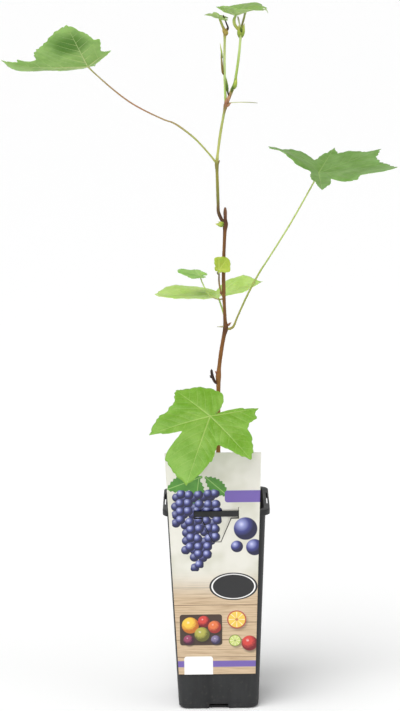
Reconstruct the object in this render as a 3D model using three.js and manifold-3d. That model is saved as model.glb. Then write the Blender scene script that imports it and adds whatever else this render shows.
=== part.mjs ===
// A young grapevine in a tall square nursery pot with a card label.
// Millimetres, +Z up, +X to the right and -Y to the front, where the label hangs.
// The origin is the centre of the pot's flat underside.
import * as THREE from "three";
import { mergeVertices } from "three/addons/utils/BufferGeometryUtils.js";
import Module from "manifold-3d";

const wasm = await Module();
wasm.setup();

// ---------------------------------------------------------------- driving dimensions
const GAP = 0.3; // clearance left between neighbouring pieces

const POT = {
  height: 215,
  rimHalf: 55, // half the width over the rim
  lipHeight: 6,
  lipCornerRadius: 13,
  lipRound: 0.8, // how far the lip's edges are eased
  shoulderHalf: 50.5, // half width of the body just under the lip
  footHalf: 41.7, // half width of the body just above the rounded foot
  wall: 1.6,
  floor: 2.2,
  cornerRadius: 11,
  cornerSteps: 5,
  footRadius: 6,
  footSteps: 3,
};
const LABEL_BAR = { halfLength: 22.5, thickness: 1.4, slotWidth: 2.4, slotEndGap: 1 };
const DRAIN = { width: 20, height: 5.5, depth: 6 };

const SOIL = { top: 195, edgeDrop: 1.5, edgeWidth: 6, clearance: 0.4 };

const CARD = {
  thickness: 0.6,
  bottom: { z: 38.4, left: -41, right: 38.5 },
  top: { z: 277.5, left: -51.9, right: 46.4 },
  backAtBottom: -43.6, // y of the card's back face at its bottom edge
  backAtLip: -55.3, // y of the card's back face where it passes the lip
};
// The tongue is as wide as the slot beside the bar and narrows to a V below it.
const TONGUE = {
  shoulderHalf: 22.6,
  neckHalf: 14.9,
  tipHalf: 4.2,
  rootZ: 219.5,
  shoulderZ: 207.5,
  tipZ: 182.5,
  cut: 0.5, // width of the cut round the tongue
  hinge: 9, // height above the pot's rim at which the tongue leaves the card
};

const LEAF = {
  thickness: 1.2,
  rings: 4, // rings of faces from the stalk to the margin
  smallRings: 3,
  smallDetail: 30, // a leaf with this many rays or fewer has the smaller count of rings
  strides: 4, // steps that the curve of a vein takes between two rings
  curlPower: 4, // how strongly the curl is kept to a lobe's tip
};
const LIMB_SIDES = { stem: 10, twig: 8, twigRadius: 2.5 };

// ---------------------------------------------------------------- solids from meshes
const toSolid = (geometry) => {
  const bare = geometry.clone();
  bare.deleteAttribute("normal");
  bare.deleteAttribute("uv");
  const merged = mergeVertices(bare, 1e-4);
  return new wasm.Manifold(
    new wasm.Mesh({
      numProp: 3,
      vertProperties: new Float32Array(merged.attributes.position.array),
      triVerts: new Uint32Array(merged.index.array),
    }),
  );
};

const toGeometry = (solid) => {
  const mesh = solid.getMesh();
  const geometry = new THREE.BufferGeometry();
  geometry.setAttribute("position", new THREE.BufferAttribute(mesh.vertProperties, 3));
  geometry.setIndex(new THREE.BufferAttribute(mesh.triVerts, 1));
  geometry.computeVertexNormals();
  return geometry;
};

const meshOf = (positions, indices) => {
  const geometry = new THREE.BufferGeometry();
  geometry.setAttribute("position", new THREE.Float32BufferAttribute(positions.flat(), 3));
  geometry.setIndex(indices);
  return geometry;
};

// A closed skin over a stack of rings that all have the same number of points.
// Rings run anticlockwise seen from the direction in which the stack grows.
const loftRings = (rings) => {
  const count = rings[0].length;
  const positions = rings.flat();
  const indices = [];
  for (let r = 0; r + 1 < rings.length; r++)
    for (let i = 0; i < count; i++) {
      const j = (i + 1) % count;
      const a = r * count + i;
      const b = r * count + j;
      indices.push(a, b, b + count, a, b + count, a + count);
    }
  const centreOf = (ring) => [0, 1, 2].map((k) => ring.reduce((s, p) => s + p[k], 0) / count);
  const first = positions.push(centreOf(rings[0])) - 1;
  const last = positions.push(centreOf(rings.at(-1))) - 1;
  const top = (rings.length - 1) * count;
  for (let i = 0; i < count; i++) {
    const j = (i + 1) % count;
    indices.push(first, j, i, last, top + i, top + j);
  }
  return meshOf(positions, indices);
};

const boxSolid = (x0, x1, y0, y1, z0, z1) => {
  const box = new THREE.BoxGeometry(x1 - x0, y1 - y0, z1 - z0);
  box.translate((x0 + x1) / 2, (y0 + y1) / 2, (z0 + z1) / 2);
  return toSolid(box);
};

// ---------------------------------------------------------------- pot
const squareRing = (half, z, cornerRadius = POT.cornerRadius) => {
  const radius = Math.min(cornerRadius, half);
  const steps = POT.cornerSteps;
  const ring = [];
  for (let corner = 0; corner < 4; corner++)
    for (let s = 0; s <= steps; s++) {
      const angle = (corner + s / steps) * (Math.PI / 2);
      const sx = corner === 0 || corner === 3 ? 1 : -1;
      const sy = corner < 2 ? 1 : -1;
      const inner = half - radius;
      ring.push([sx * inner + radius * Math.cos(angle), sy * inner + radius * Math.sin(angle), z]);
    }
  return ring;
};

// Half width of the tapering body at a height.
const bodyHalf = (z) => {
  const rise = (z - POT.footRadius) / (POT.height - POT.lipHeight - POT.footRadius);
  return POT.footHalf + (POT.shoulderHalf - POT.footHalf) * rise;
};

const potGeometry = () => {
  const lipBottom = POT.height - POT.lipHeight;
  const { rimHalf, lipCornerRadius, lipRound } = POT;
  const rings = [];
  for (let s = 0; s <= POT.footSteps; s++) {
    const angle = (s / POT.footSteps) * (Math.PI / 2);
    const inset = POT.footRadius * (1 - Math.sin(angle));
    const z = POT.footRadius * (1 - Math.cos(angle));
    rings.push(squareRing(bodyHalf(POT.footRadius) - inset, z));
  }
  rings.push(squareRing(bodyHalf(lipBottom), lipBottom));
  rings.push(squareRing(rimHalf - lipRound, lipBottom, lipCornerRadius));
  rings.push(squareRing(rimHalf, lipBottom + lipRound, lipCornerRadius));
  rings.push(squareRing(rimHalf, POT.height - lipRound, lipCornerRadius));
  rings.push(squareRing(rimHalf - lipRound, POT.height, lipCornerRadius));
  rings.push(squareRing(POT.shoulderHalf - POT.wall, POT.height));
  rings.push(squareRing(bodyHalf(lipBottom) - POT.wall, lipBottom));
  rings.push(squareRing(bodyHalf(POT.footRadius) - POT.wall, POT.footRadius + POT.floor));
  rings.push(squareRing(bodyHalf(0) - POT.footRadius, POT.floor));
  let solid = toSolid(loftRings(rings));

  // Slots behind the label bars and drainage notches, one of each in every side.
  const bar = LABEL_BAR;
  const slotOuter = -POT.rimHalf + bar.thickness;
  const slotHalf = bar.halfLength + bar.slotEndGap;
  for (let side = 0; side < 4; side++) {
    const slot = boxSolid(-slotHalf, slotHalf, slotOuter, slotOuter + bar.slotWidth,
      lipBottom - 1, POT.height + 1);
    const drain = boxSolid(-DRAIN.width / 2, DRAIN.width / 2, -POT.rimHalf,
      -bodyHalf(DRAIN.height) + DRAIN.depth, -1, DRAIN.height);
    const turned = wasm.Manifold.union(slot, drain).rotate([0, 0, 90 * side]);
    solid = solid.subtract(turned);
  }
  return toGeometry(solid);
};

// ---------------------------------------------------------------- potting soil
const soilHalf = (z) => Math.min(bodyHalf(z), bodyHalf(POT.height)) - POT.wall - SOIL.clearance;

const soilGeometry = () => {
  const foot = POT.footRadius + POT.floor + SOIL.clearance;
  const base = POT.floor + SOIL.clearance;
  const edge = SOIL.top - SOIL.edgeDrop;
  return loftRings([
    squareRing(soilHalf(base) - POT.footRadius, base),
    squareRing(soilHalf(POT.footRadius) - SOIL.clearance, foot),
    squareRing(soilHalf(edge), edge),
    squareRing(soilHalf(edge) - SOIL.edgeWidth, SOIL.top),
  ]);
};

// ---------------------------------------------------------------- card label
// A flat card that leans on the lip, with a tongue that is cut from it, bent back
// and pushed down through the slot behind the front label bar.
const cardBack = (z) => {
  const lip = POT.height - POT.lipHeight / 2;
  const slope = (CARD.backAtLip - CARD.backAtBottom) / (lip - CARD.bottom.z);
  return CARD.backAtBottom + slope * (z - CARD.bottom.z);
};

// A prism with an outline in X and Z, extruded from y0 to y1.
const frontPrism = (outline, y0, y1) => {
  const shape = new THREE.Shape(outline.map(([x, z]) => new THREE.Vector2(x, z)));
  const prism = new THREE.ExtrudeGeometry(shape, { depth: y1 - y0, bevelEnabled: false });
  prism.rotateX(Math.PI / 2);
  prism.translate(0, y1, 0);
  return toSolid(prism);
};

// A strip of card with a side profile in Y and Z, extruded over -half..half in X.
const cardStrip = (line, half) => {
  const side = (offset) =>
    line.map(([y, z], i) => {
      const before = line[Math.max(i - 1, 0)];
      const after = line[Math.min(i + 1, line.length - 1)];
      const dy = after[0] - before[0];
      const dz = after[1] - before[1];
      const length = Math.hypot(dy, dz);
      return [y + (offset * dz) / length, z - (offset * dy) / length];
    });
  const outline = [...side(CARD.thickness / 2), ...side(-CARD.thickness / 2).reverse()];
  const shape = new THREE.Shape(outline.map(([y, z]) => new THREE.Vector2(y, z)));
  const strip = new THREE.ExtrudeGeometry(shape, { depth: 2 * half, bevelEnabled: false });
  strip.translate(0, 0, -half);
  strip.applyMatrix4(new THREE.Matrix4().makeBasis(
    new THREE.Vector3(0, 1, 0), new THREE.Vector3(0, 0, 1), new THREE.Vector3(1, 0, 0)));
  return toSolid(strip);
};

const tongueOutline = (grow) => {
  const { shoulderHalf, neckHalf, tipHalf, rootZ, shoulderZ, tipZ } = TONGUE;
  const rightSide = [
    [tipHalf + grow, tipZ - grow],
    [neckHalf + grow, shoulderZ - grow],
    [shoulderHalf + grow, shoulderZ - grow],
    [shoulderHalf + grow, rootZ],
  ];
  const leftSide = rightSide.map(([x, z]) => [-x, z]).reverse();
  return [...leftSide, ...rightSide];
};

const cardGeometry = () => {
  const { bottom, top, thickness } = CARD;
  const panelLine = [
    [cardBack(bottom.z) - thickness / 2, bottom.z],
    [cardBack(top.z) - thickness / 2, top.z],
  ];
  const outline = [
    [bottom.left, bottom.z - 1],
    [bottom.right, bottom.z - 1],
    [top.right, top.z + 1],
    [top.left, top.z + 1],
  ];
  const front = 2 * CARD.backAtLip;
  const inFront = (points) => frontPrism(points, front, -POT.footHalf);
  const sheet = cardStrip(panelLine, Math.abs(top.left) + 1);
  const panel = sheet.intersect(inFront(outline)).subtract(inFront(tongueOutline(TONGUE.cut)));

  const slotMiddle = -POT.rimHalf + LABEL_BAR.thickness + LABEL_BAR.slotWidth / 2;
  const rim = POT.height;
  const hinge = rim + TONGUE.hinge;
  const knee = rim + TONGUE.hinge / 2;
  const bent = cardStrip(
    [
      [cardBack(hinge) - thickness / 2, hinge],
      [cardBack(knee) - thickness / 2, knee],
      [slotMiddle - LABEL_BAR.thickness, rim + 1.6],
      [slotMiddle, rim - 1.2],
      [slotMiddle, rim - POT.lipHeight - 2],
      [slotMiddle, TONGUE.tipZ - 1],
    ],
    TONGUE.shoulderHalf + 1,
  );
  const above = [[TONGUE.shoulderHalf, hinge - 1], [-TONGUE.shoulderHalf, hinge - 1]];
  const tongue = bent.intersect(inFront([...tongueOutline(0), ...above]));
  return toGeometry(panel.add(tongue));
};

// ---------------------------------------------------------------- stems, shoots and leaf stalks
// Where the limbs meet: the middle of each swelling from which a shoot, stalk or twig leaves.
const NODE = {
  soil: [2, 0, SOIL.top],
  front: [3, 1, 291],
  stub: [4, 0, 345],
  right: [12, 0, 395],
  twig: [11, -1, 425],
  shoot: [13, 0, 503],
  left: [5, 0, 565],
  fork: [15, 0, 625],
  leftTip: [15, 0, 700],
  rightTip: [31, 0, 700],
};

// Where each stalk meets its blade.
const JUNCTION = {
  upper_left: [-125, 18, 664],
  right: [108, -16, 556],
  behind: [4, 35, 424],
  front: [-5, -55, 314],
  folded: [6, -12, 458],
  small_back: [-14, 28, 446],
  top_right: [26, 0, 714],
  top_left: [9, 0, 713],
};

// A limb is slim again this far from a node, or after this share of a short span.
const SWELLING = { reach: 8, share: 0.25 };

// A point of a limb [x, y, z, radius], so many millimetres above a place.
const at = ([x, y, z], radius, rise = 0) => [x, y, z + rise, radius];

// Stations of a limb that grows through some points. From each point to the next it takes a slim
// radius and bows by [x, y, z] millimetres.
const through = (points, spans) => {
  const stations = spans.flatMap(({ slim, bow = [0, 0, 0] }, i) => {
    const start = points[i];
    const end = points[i + 1];
    const length = Math.hypot(end[0] - start[0], end[1] - start[1], end[2] - start[2]);
    const share = Math.min(SWELLING.reach / length, SWELLING.share);
    const between = (t) => {
      const place = bow.map((push, axis) =>
        THREE.MathUtils.lerp(start[axis], end[axis], t) + 4 * t * (1 - t) * push);
      return [...place, slim];
    };
    return [start, between(share), between(0.5), between(1 - share)];
  });
  return [...stations, points.at(-1)];
};

// Each limb is a list of stations joined by a smooth curve of about so many millimetres a step.
const LIMBS = {
  // The woody main stem: flared at the soil, a little zigzag at the nodes, and a
  // short dead tip above the node from which the green shoot leaves.
  main_stem: {
    step: 7,
    stations: through(
      [
        at(NODE.soil, 4.2, GAP),
        at(NODE.soil, 2.6, 15),
        at(NODE.stub, 2.9),
        at(NODE.right, 2.7),
        at(NODE.shoot, 2.8),
        at(NODE.shoot, 0.9, 17),
      ],
      [
        { slim: 3 },
        { slim: 2.3, bow: [0, 1, 0] },
        { slim: 2.1, bow: [-1, 0, 0] },
        { slim: 1.9, bow: [-2, -2, 0] },
        { slim: 1.8 },
      ],
    ),
  },
  pruned_stub: {
    step: 3,
    stations: through([at(NODE.stub, 1.5, -8), [-3, -2, 350, 1.4]], [{ slim: 1.5, bow: [-1, 0, -3] }]),
    cutBy: ["main_stem"],
  },
  side_twig: {
    step: 3,
    stations: through([at(NODE.twig, 1), [6, -6, 453, 0.8]], [{ slim: 0.9, bow: [-2, -1, 0] }]),
    cutBy: ["main_stem"],
  },
  green_shoot: {
    step: 6,
    stations: through(
      [at(NODE.shoot, 1.9, -1), [6, 0, 516, 1.7], at(NODE.left, 2.1), at(NODE.fork, 2.2)],
      [
        { slim: 1.8, bow: [-1, 0, 0] },
        { slim: 1.6, bow: [0, 1, 0] },
        { slim: 1.4, bow: [-1, 1, 0] },
      ],
    ),
    cutBy: ["main_stem"],
  },
  shoot_left: {
    step: 7,
    stations: through(
      [at(NODE.fork, 1.6, -2), at(NODE.leftTip, 1.9, -1)], [{ slim: 1.3, bow: [-1, 1, 0] }]),
    cutBy: ["green_shoot"],
  },
  shoot_right: {
    step: 6,
    stations: through(
      [at(NODE.fork, 1.7, -1), [24, -1, 646, 1.5], at(NODE.rightTip, 2.3), [36, 0, 718, 1.1]],
      [{ slim: 1.8 }, { slim: 1.35, bow: [1, -1, 0] }, { slim: 1.1 }],
    ),
    cutBy: ["green_shoot", "shoot_left"],
  },
  stalk_upper_left: {
    step: 11,
    stations: through(
      [at(NODE.left, 1.3), [-40, 7, 607, 0.85], at(JUNCTION.upper_left, 0.95)],
      [{ slim: 1, bow: [0, 0, 5] }, { slim: 0.8, bow: [0, 0, -8] }],
    ),
    cutBy: ["green_shoot"],
  },
  stalk_right: {
    step: 11,
    stations: through(
      [at(NODE.right, 1.4, 1), [20, -1, 397, 1.2], [50, -6, 458, 0.9], at(JUNCTION.right, 1)],
      [
        { slim: 1.3, bow: [0, 0, -2] },
        { slim: 1, bow: [0, 0, 3] },
        { slim: 0.85, bow: [0, 0, -3] },
      ],
    ),
    cutBy: ["main_stem"],
  },
  stalk_behind: {
    step: 6,
    stations: through(
      [at(NODE.right, 1.1, 3), at(JUNCTION.behind, 0.9)], [{ slim: 0.9, bow: [2, 0, -3] }]),
    cutBy: ["main_stem"],
  },
  stalk_front: {
    step: 6,
    stations: through(
      [at(NODE.front, 1.3), at(JUNCTION.front, 1.05)], [{ slim: 1, bow: [1, 0, -7] }]),
    cutBy: ["main_stem"],
  },
  stalk_small_back: {
    step: 5,
    stations: through(
      [at(NODE.twig, 0.9, 1), at(JUNCTION.small_back, 0.7)], [{ slim: 0.7, bow: [-2, -4, -8] }]),
    cutBy: ["main_stem"],
  },
  stalk_folded: {
    step: 3,
    stations: through(
      [[6, -6, 452, 0.75], at(JUNCTION.folded, 0.8)], [{ slim: 0.7, bow: [-1, 0, 0] }]),
    cutBy: ["side_twig"],
  },
  stalk_top_right: {
    step: 3,
    stations: through(
      [at(NODE.rightTip, 1.1), at(JUNCTION.top_right, 0.9)], [{ slim: 0.95, bow: [-4, -1, 0] }]),
    cutBy: ["shoot_right"],
  },
  stalk_top_left: {
    step: 3,
    stations: through(
      [at(NODE.leftTip, 0.9, -2), at(JUNCTION.top_left, 0.75)], [{ slim: 0.8, bow: [0, -1, 0] }]),
    cutBy: ["shoot_left"],
  },
};

// A tapering tube along a limb's curve, grown by an allowance all round.
const limbSolid = ({ stations, step }, grow = 0) => {
  const thickest = Math.max(...stations.map((station) => station[3]));
  const sides = thickest > LIMB_SIDES.twigRadius ? LIMB_SIDES.stem : LIMB_SIDES.twig;
  const curve = new THREE.CatmullRomCurve3(
    stations.map(([x, y, z]) => new THREE.Vector3(x, y, z)), false, "centripetal");
  const radiusAt = (t) => {
    const place = t * (stations.length - 1);
    const i = Math.min(Math.floor(place), stations.length - 2);
    return THREE.MathUtils.lerp(stations[i][3], stations[i + 1][3], place - i);
  };
  const perSpan = Math.max(1, Math.round(curve.getLength() / step / (stations.length - 1)));
  const last = perSpan * (stations.length - 1);
  let normal = new THREE.Vector3(0, 1, 0);
  const rings = [];
  for (let i = 0; i <= last; i++) {
    const t = i / last;
    const centre = curve.getPoint(t);
    const tangent = curve.getTangent(t);
    normal = normal.clone().addScaledVector(tangent, -normal.dot(tangent)).normalize();
    const side = new THREE.Vector3().crossVectors(tangent, normal);
    const radius = radiusAt(t) + grow;
    if (i === 0) centre.addScaledVector(tangent, -grow);
    if (i === last) centre.addScaledVector(tangent, grow);
    const ring = [];
    for (let k = 0; k < sides; k++) {
      const angle = (2 * Math.PI * k) / sides;
      const point = centre.clone()
        .addScaledVector(normal, radius * Math.cos(angle))
        .addScaledVector(side, radius * Math.sin(angle));
      ring.push(point.toArray());
    }
    rings.push(ring);
  }
  return toSolid(loftRings(rings));
};

const largestBody = (solid) =>
  solid.decompose().reduce((best, body) => (body.volume() > best.volume() ? body : best));

// ---------------------------------------------------------------- leaf blades
// A vine leaf spreads from the point where its stalk meets it. Five veins run out
// from there, each to the tip of a lobe. heading, pitch and roll aim the middle
// vein in degrees: heading from +X towards +Y, pitch upwards, and roll tips the
// left side up. A lobe is [angle from the middle vein, length, starting slope,
// bend over its length, extra curl at its tip], from the right side to the left.
// A sinus, the notch between two lobes, is [its place between them, its depth as
// a share of their length, half its width in degrees, shoulder height]; the last
// one is the notch at the stalk.
const SINUS = {
  halfWidth: 15,
  shoulder: 0.82,
  baseHalfWidth: 24,
  baseShoulder: 0.78,
  widest: 0.8, // the share of the way to a lobe's tip that a notch may take up
};

const LEAVES = {
  upper_left: {
    junction: JUNCTION.upper_left, heading: 190, pitch: 0, roll: 30, detail: 40,
    lobes: [
      [-100, 40, 25, 0, 0],
      [-60, 75, 20, 0, 0],
      [0, 88, 0, 0, 30],
      [70, 82, 5, 0, 0],
      [118, 41, 3, -15, 0],
    ],
    sinuses: [[0.5, 0.6], [0.5, 0.6], [0.2, 0.65, 12, 0.76], [0.5, 0.85], [0.45, 0.15, 80, 0.4]],
  },
  right: {
    junction: JUNCTION.right, heading: -30, pitch: 0, roll: 0, detail: 40,
    lobes: [
      [-140, 60, 40, -30, -60],
      [-60, 70, -8, 0, 0],
      [0, 90, 5, 0, 0],
      [57, 75, 15, 0, 0],
      [102, 63, 18, 0, 0],
    ],
    sinuses: [[0.6, 0.25, 25, 0.6], [0.35, 0.4], [0.5, 0.75], [0.5, 0.85], [0.2, 0.5, 20]],
  },
  behind: {
    junction: JUNCTION.behind, heading: 125, pitch: 0, roll: 0, detail: 36,
    lobes: [
      [-95, 56, 10, 0, 0],
      [-66, 55, 15, 0, 0],
      [8, 64, 4, 0, 0],
      [38, 68, -1, 0, 0],
      [95, 42, 0, 0, 0],
    ],
    sinuses: [
      [0.5, 1, 15, 1],
      [0.5, 0.2, 30],
      [0.5, 1, 15, 1],
      [0.5, 0.85, 15, 0.92],
      [0.5, 0.15, 60, 0.6],
    ],
  },
  front: {
    junction: JUNCTION.front, heading: -110, pitch: -35, roll: -15, detail: 40,
    lobes: [
      [-120, 50, 0, -15, 0],
      [-55, 65, 0, -15, 0],
      [0, 85, 0, -15, 0],
      [55, 65, 0, -15, 0],
      [120, 50, 0, 0, 0],
    ],
    sinuses: [
      [0.5, 0.75],
      [0.3, 0.5],
      [0.5, 0.5, 12, 0.67],
      [0.5, 0.7],
      [0.15, 0.12, 40, 0.68],
    ],
  },
  folded: {
    junction: JUNCTION.folded, heading: 0, pitch: 50, roll: 90, detail: 26,
    lobes: [
      [-105, 4, 0, 0, 0],
      [-50, 12, 0, -30, 0],
      [0, 15, 0, -40, 0],
      [40, 13, 0, -30, 0],
      [110, 5, 0, 0, 0],
    ],
    sinuses: [
      [0.5, 0.95, 15, 0.97],
      [0.5, 1, 15, 1],
      [0.5, 1, 15, 1],
      [0.5, 0.95, 15, 0.97],
      [0.5, 0.3],
    ],
  },
  small_back: {
    junction: JUNCTION.small_back, heading: 170, pitch: 8, roll: -10, detail: 26,
    lobes: [
      [-120, 10, 5, 0, 0],
      [-60, 18, 0, 0, 0],
      [0, 24, 5, 0, 0],
      [60, 18, 5, 0, 0],
      [120, 10, 5, 0, 0],
    ],
    sinuses: [
      [0.5, 0.85, 15, 0.95],
      [0.5, 0.9, 15, 0.95],
      [0.5, 0.9, 15, 0.95],
      [0.5, 0.85, 15, 0.95],
      [0.5, 0.2],
    ],
  },
  top_right: {
    junction: JUNCTION.top_right, heading: 10, pitch: 15, roll: 0, detail: 30,
    lobes: [
      [-130, 25, 35, 0, 0],
      [-40, 36, 10, -20, -30],
      [0, 40, 35, -75, -50],
      [50, 36, 20, -20, -10],
      [130, 25, 30, 0, 0],
    ],
    sinuses: [[0.5, 0.6], [0.5, 0.9], [0.5, 0.95], [0.5, 0.8], [0.5, 0.25, 40, 0.6]],
  },
  top_left: {
    junction: JUNCTION.top_left, heading: 180, pitch: 15, roll: -15, detail: 26,
    lobes: [
      [-130, 13, -5, 0, 0],
      [-60, 12, 5, -10, 0],
      [0, 15, 5, -20, -20],
      [60, 12, 0, 15, 0],
      [130, 13, 5, 0, 0],
    ],
    sinuses: [[0.5, 0.6], [0.5, 0.6], [0.5, 0.6], [0.5, 0.6], [0.5, 0.25]],
  },
};

const ease = (t) => t * t * (3 - 2 * t);
const radians = THREE.MathUtils.degToRad;

// The middle vein, the left side and the upper face of a leaf as unit vectors.
const leafFrame = ({ heading, pitch, roll }) => {
  const h = radians(heading);
  const p = radians(pitch);
  const r = radians(roll);
  const middle = new THREE.Vector3(
    Math.cos(p) * Math.cos(h), Math.cos(p) * Math.sin(h), Math.sin(p));
  const level = new THREE.Vector3(-Math.sin(h), Math.cos(h), 0);
  const upright = new THREE.Vector3().crossVectors(middle, level);
  const left = level.clone().multiplyScalar(Math.cos(r)).addScaledVector(upright, Math.sin(r));
  const upper = upright.clone().multiplyScalar(Math.cos(r)).addScaledVector(level, -Math.sin(r));
  return { middle, left, upper };
};

// Reach, starting slope, bend and curl of the blade in the direction of an angle.
const bladeAt = ({ lobes, sinuses }, angle) => {
  let index = lobes.findLastIndex((lobe) => lobe[0] <= angle);
  let turned = angle;
  if (index < 0) {
    index = lobes.length - 1;
    turned += 360;
  }
  const atBase = index === lobes.length - 1;
  const a = lobes[index];
  const b = lobes[(index + 1) % lobes.length];
  const from = a[0];
  const to = atBase ? b[0] + 360 : b[0];
  const [
    place,
    depth,
    halfWidth = atBase ? SINUS.baseHalfWidth : SINUS.halfWidth,
    shoulder = atBase ? SINUS.baseShoulder : SINUS.shoulder,
  ] = sinuses[index];
  const notch = from + (to - from) * place;
  const floor = depth * THREE.MathUtils.lerp(a[1], b[1], place);
  const before = Math.min(halfWidth, SINUS.widest * (notch - from));
  const after = Math.min(halfWidth, SINUS.widest * (to - notch));
  let reach;
  if (turned <= notch - before)
    reach = a[1] * (1 - (1 - shoulder) * ((turned - from) / (notch - before - from)));
  else if (turned <= notch)
    reach = THREE.MathUtils.lerp(a[1] * shoulder, floor, ease((turned - notch + before) / before));
  else if (turned <= notch + after)
    reach = THREE.MathUtils.lerp(floor, b[1] * shoulder, ease((turned - notch) / after));
  else
    reach = b[1] * THREE.MathUtils.lerp(shoulder, 1, (turned - notch - after) / (to - notch - after));
  const blend = ease((turned - from) / (to - from));
  const [rise, bend, curl] = [2, 3, 4].map((k) => THREE.MathUtils.lerp(a[k], b[k], blend));
  return { reach, rise, bend, curl };
};

// Points of the blade's middle surface: one row for each direction, outwards.
const bladeRows = (leaf, grow, steps) => {
  const { middle, left, upper } = leafFrame(leaf);
  const longest = Math.max(...leaf.lobes.map((lobe) => lobe[1]));
  const angles = Array.from({ length: leaf.detail }, (_, k) => -180 + (360 * k) / leaf.detail);
  for (const [lobeAngle] of leaf.lobes) {
    const miss = angles.map((angle) => Math.abs(angle - lobeAngle));
    angles[miss.indexOf(Math.min(...miss))] = lobeAngle;
  }
  return angles.map((angle) => {
    const { reach, rise, bend, curl } = bladeAt(leaf, angle);
    const along = middle.clone().multiplyScalar(Math.cos(radians(angle)))
      .addScaledVector(left, Math.sin(radians(angle)));
    const point = new THREE.Vector3(...leaf.junction);
    const strides = steps * LEAF.strides;
    const stride = (reach + grow) / strides;
    const row = [];
    for (let i = 0; i < strides; i++) {
      const share = ((i + 0.5) * stride) / longest;
      const slope = radians(rise + bend * share + curl * share ** LEAF.curlPower);
      point.addScaledVector(along, stride * Math.cos(slope));
      point.addScaledVector(upper, stride * Math.sin(slope));
      if ((i + 1) % LEAF.strides === 0) row.push(point.clone());
    }
    return row;
  });
};

// The blade as a thin closed solid.
const bladeSolid = (leaf, grow = 0) => {
  const steps = leaf.detail > LEAF.smallDetail ? LEAF.rings : LEAF.smallRings;
  const rows = bladeRows(leaf, grow, steps);
  const { upper } = leafFrame(leaf);
  const centre = new THREE.Vector3(...leaf.junction);
  const half = LEAF.thickness / 2 + grow;
  const count = rows.length;
  const positions = [];
  const faceOf = (sign) => {
    const start = positions.push(centre.clone().addScaledVector(upper, sign * half).toArray()) - 1;
    rows.forEach((row, k) =>
      row.forEach((point, j) => {
        const outward = point.clone().sub(j ? row[j - 1] : centre);
        const across = rows[(k + 1) % count][j].clone().sub(rows[(k + count - 1) % count][j]);
        const normal = new THREE.Vector3().crossVectors(outward, across).normalize();
        positions.push(point.clone().addScaledVector(normal, sign * half).toArray());
      }));
    return start;
  };
  const top = faceOf(1);
  const under = faceOf(-1);
  const at = (start, k, j) => start + 1 + (k % count) * steps + j;
  const indices = [];
  for (let k = 0; k < count; k++) {
    indices.push(top, at(top, k, 0), at(top, k + 1, 0));
    indices.push(under, at(under, k + 1, 0), at(under, k, 0));
    for (let j = 0; j + 1 < steps; j++) {
      indices.push(at(top, k, j), at(top, k, j + 1), at(top, k + 1, j + 1));
      indices.push(at(top, k, j), at(top, k + 1, j + 1), at(top, k + 1, j));
      indices.push(at(under, k, j), at(under, k + 1, j + 1), at(under, k, j + 1));
      indices.push(at(under, k, j), at(under, k + 1, j), at(under, k + 1, j + 1));
    }
    const rim = steps - 1;
    indices.push(at(top, k, rim), at(under, k, rim), at(under, k + 1, rim));
    indices.push(at(top, k, rim), at(under, k + 1, rim), at(top, k + 1, rim));
  }
  return toSolid(meshOf(positions, indices));
};

// ---------------------------------------------------------------- assembly
const MATERIALS = {
  pot: { color: 0x3a3b3c, roughness: 0.6, metalness: 0 },
  soil: { color: 0x2b1f17, roughness: 0.95, metalness: 0 },
  card: { color: 0xd9d6c8, roughness: 0.35, metalness: 0 },
  wood: { color: 0x6e4420, roughness: 0.8, metalness: 0 },
  deadwood: { color: 0x33261d, roughness: 0.9, metalness: 0 },
  shoot: { color: 0x8f9a4a, roughness: 0.55, metalness: 0 },
  stalk: { color: 0xa3b05c, roughness: 0.5, metalness: 0 },
  leaf: { color: 0x7fae42, roughness: 0.5, metalness: 0 },
};

const WOOD_OF = { main_stem: "wood", pruned_stub: "deadwood", side_twig: "wood" };

const vine = new THREE.Group();

const addPiece = (name, geometry, finish) => {
  const mesh = new THREE.Mesh(geometry, new THREE.MeshStandardMaterial(MATERIALS[finish]));
  mesh.name = name;
  vine.add(mesh);
};

addPiece("pot", potGeometry(), "pot");
addPiece("potting_soil", soilGeometry(), "soil");
addPiece("card_label", cardGeometry(), "card");

for (const [name, limb] of Object.entries(LIMBS)) {
  let solid = limbSolid(limb);
  for (const neighbour of limb.cutBy ?? [])
    solid = solid.subtract(limbSolid(LIMBS[neighbour], GAP));
  const leaf = LEAVES[name.replace("stalk_", "")];
  if (leaf) solid = solid.subtract(bladeSolid(leaf, GAP));
  const finish = WOOD_OF[name] ?? (leaf ? "stalk" : "shoot");
  addPiece(name, toGeometry(largestBody(solid)), finish);
}

for (const [name, leaf] of Object.entries(LEAVES))
  addPiece(`leaf_${name}`, toGeometry(bladeSolid(leaf)), "leaf");

export default vine;
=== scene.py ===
"""A young grapevine in a tall square nursery pot: the looks of every piece.

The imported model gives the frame. Sizes here are in millimetres and become metres where a
mesh is made. +Z is up, -Y is the front, and the origin is under the middle of the pot.
"""

import logging
import math
from collections.abc import Sequence
from dataclasses import dataclass, field
from enum import Enum
from typing import Any

import bmesh
import bpy
import numpy as np
from mathutils import Matrix, Vector


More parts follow.
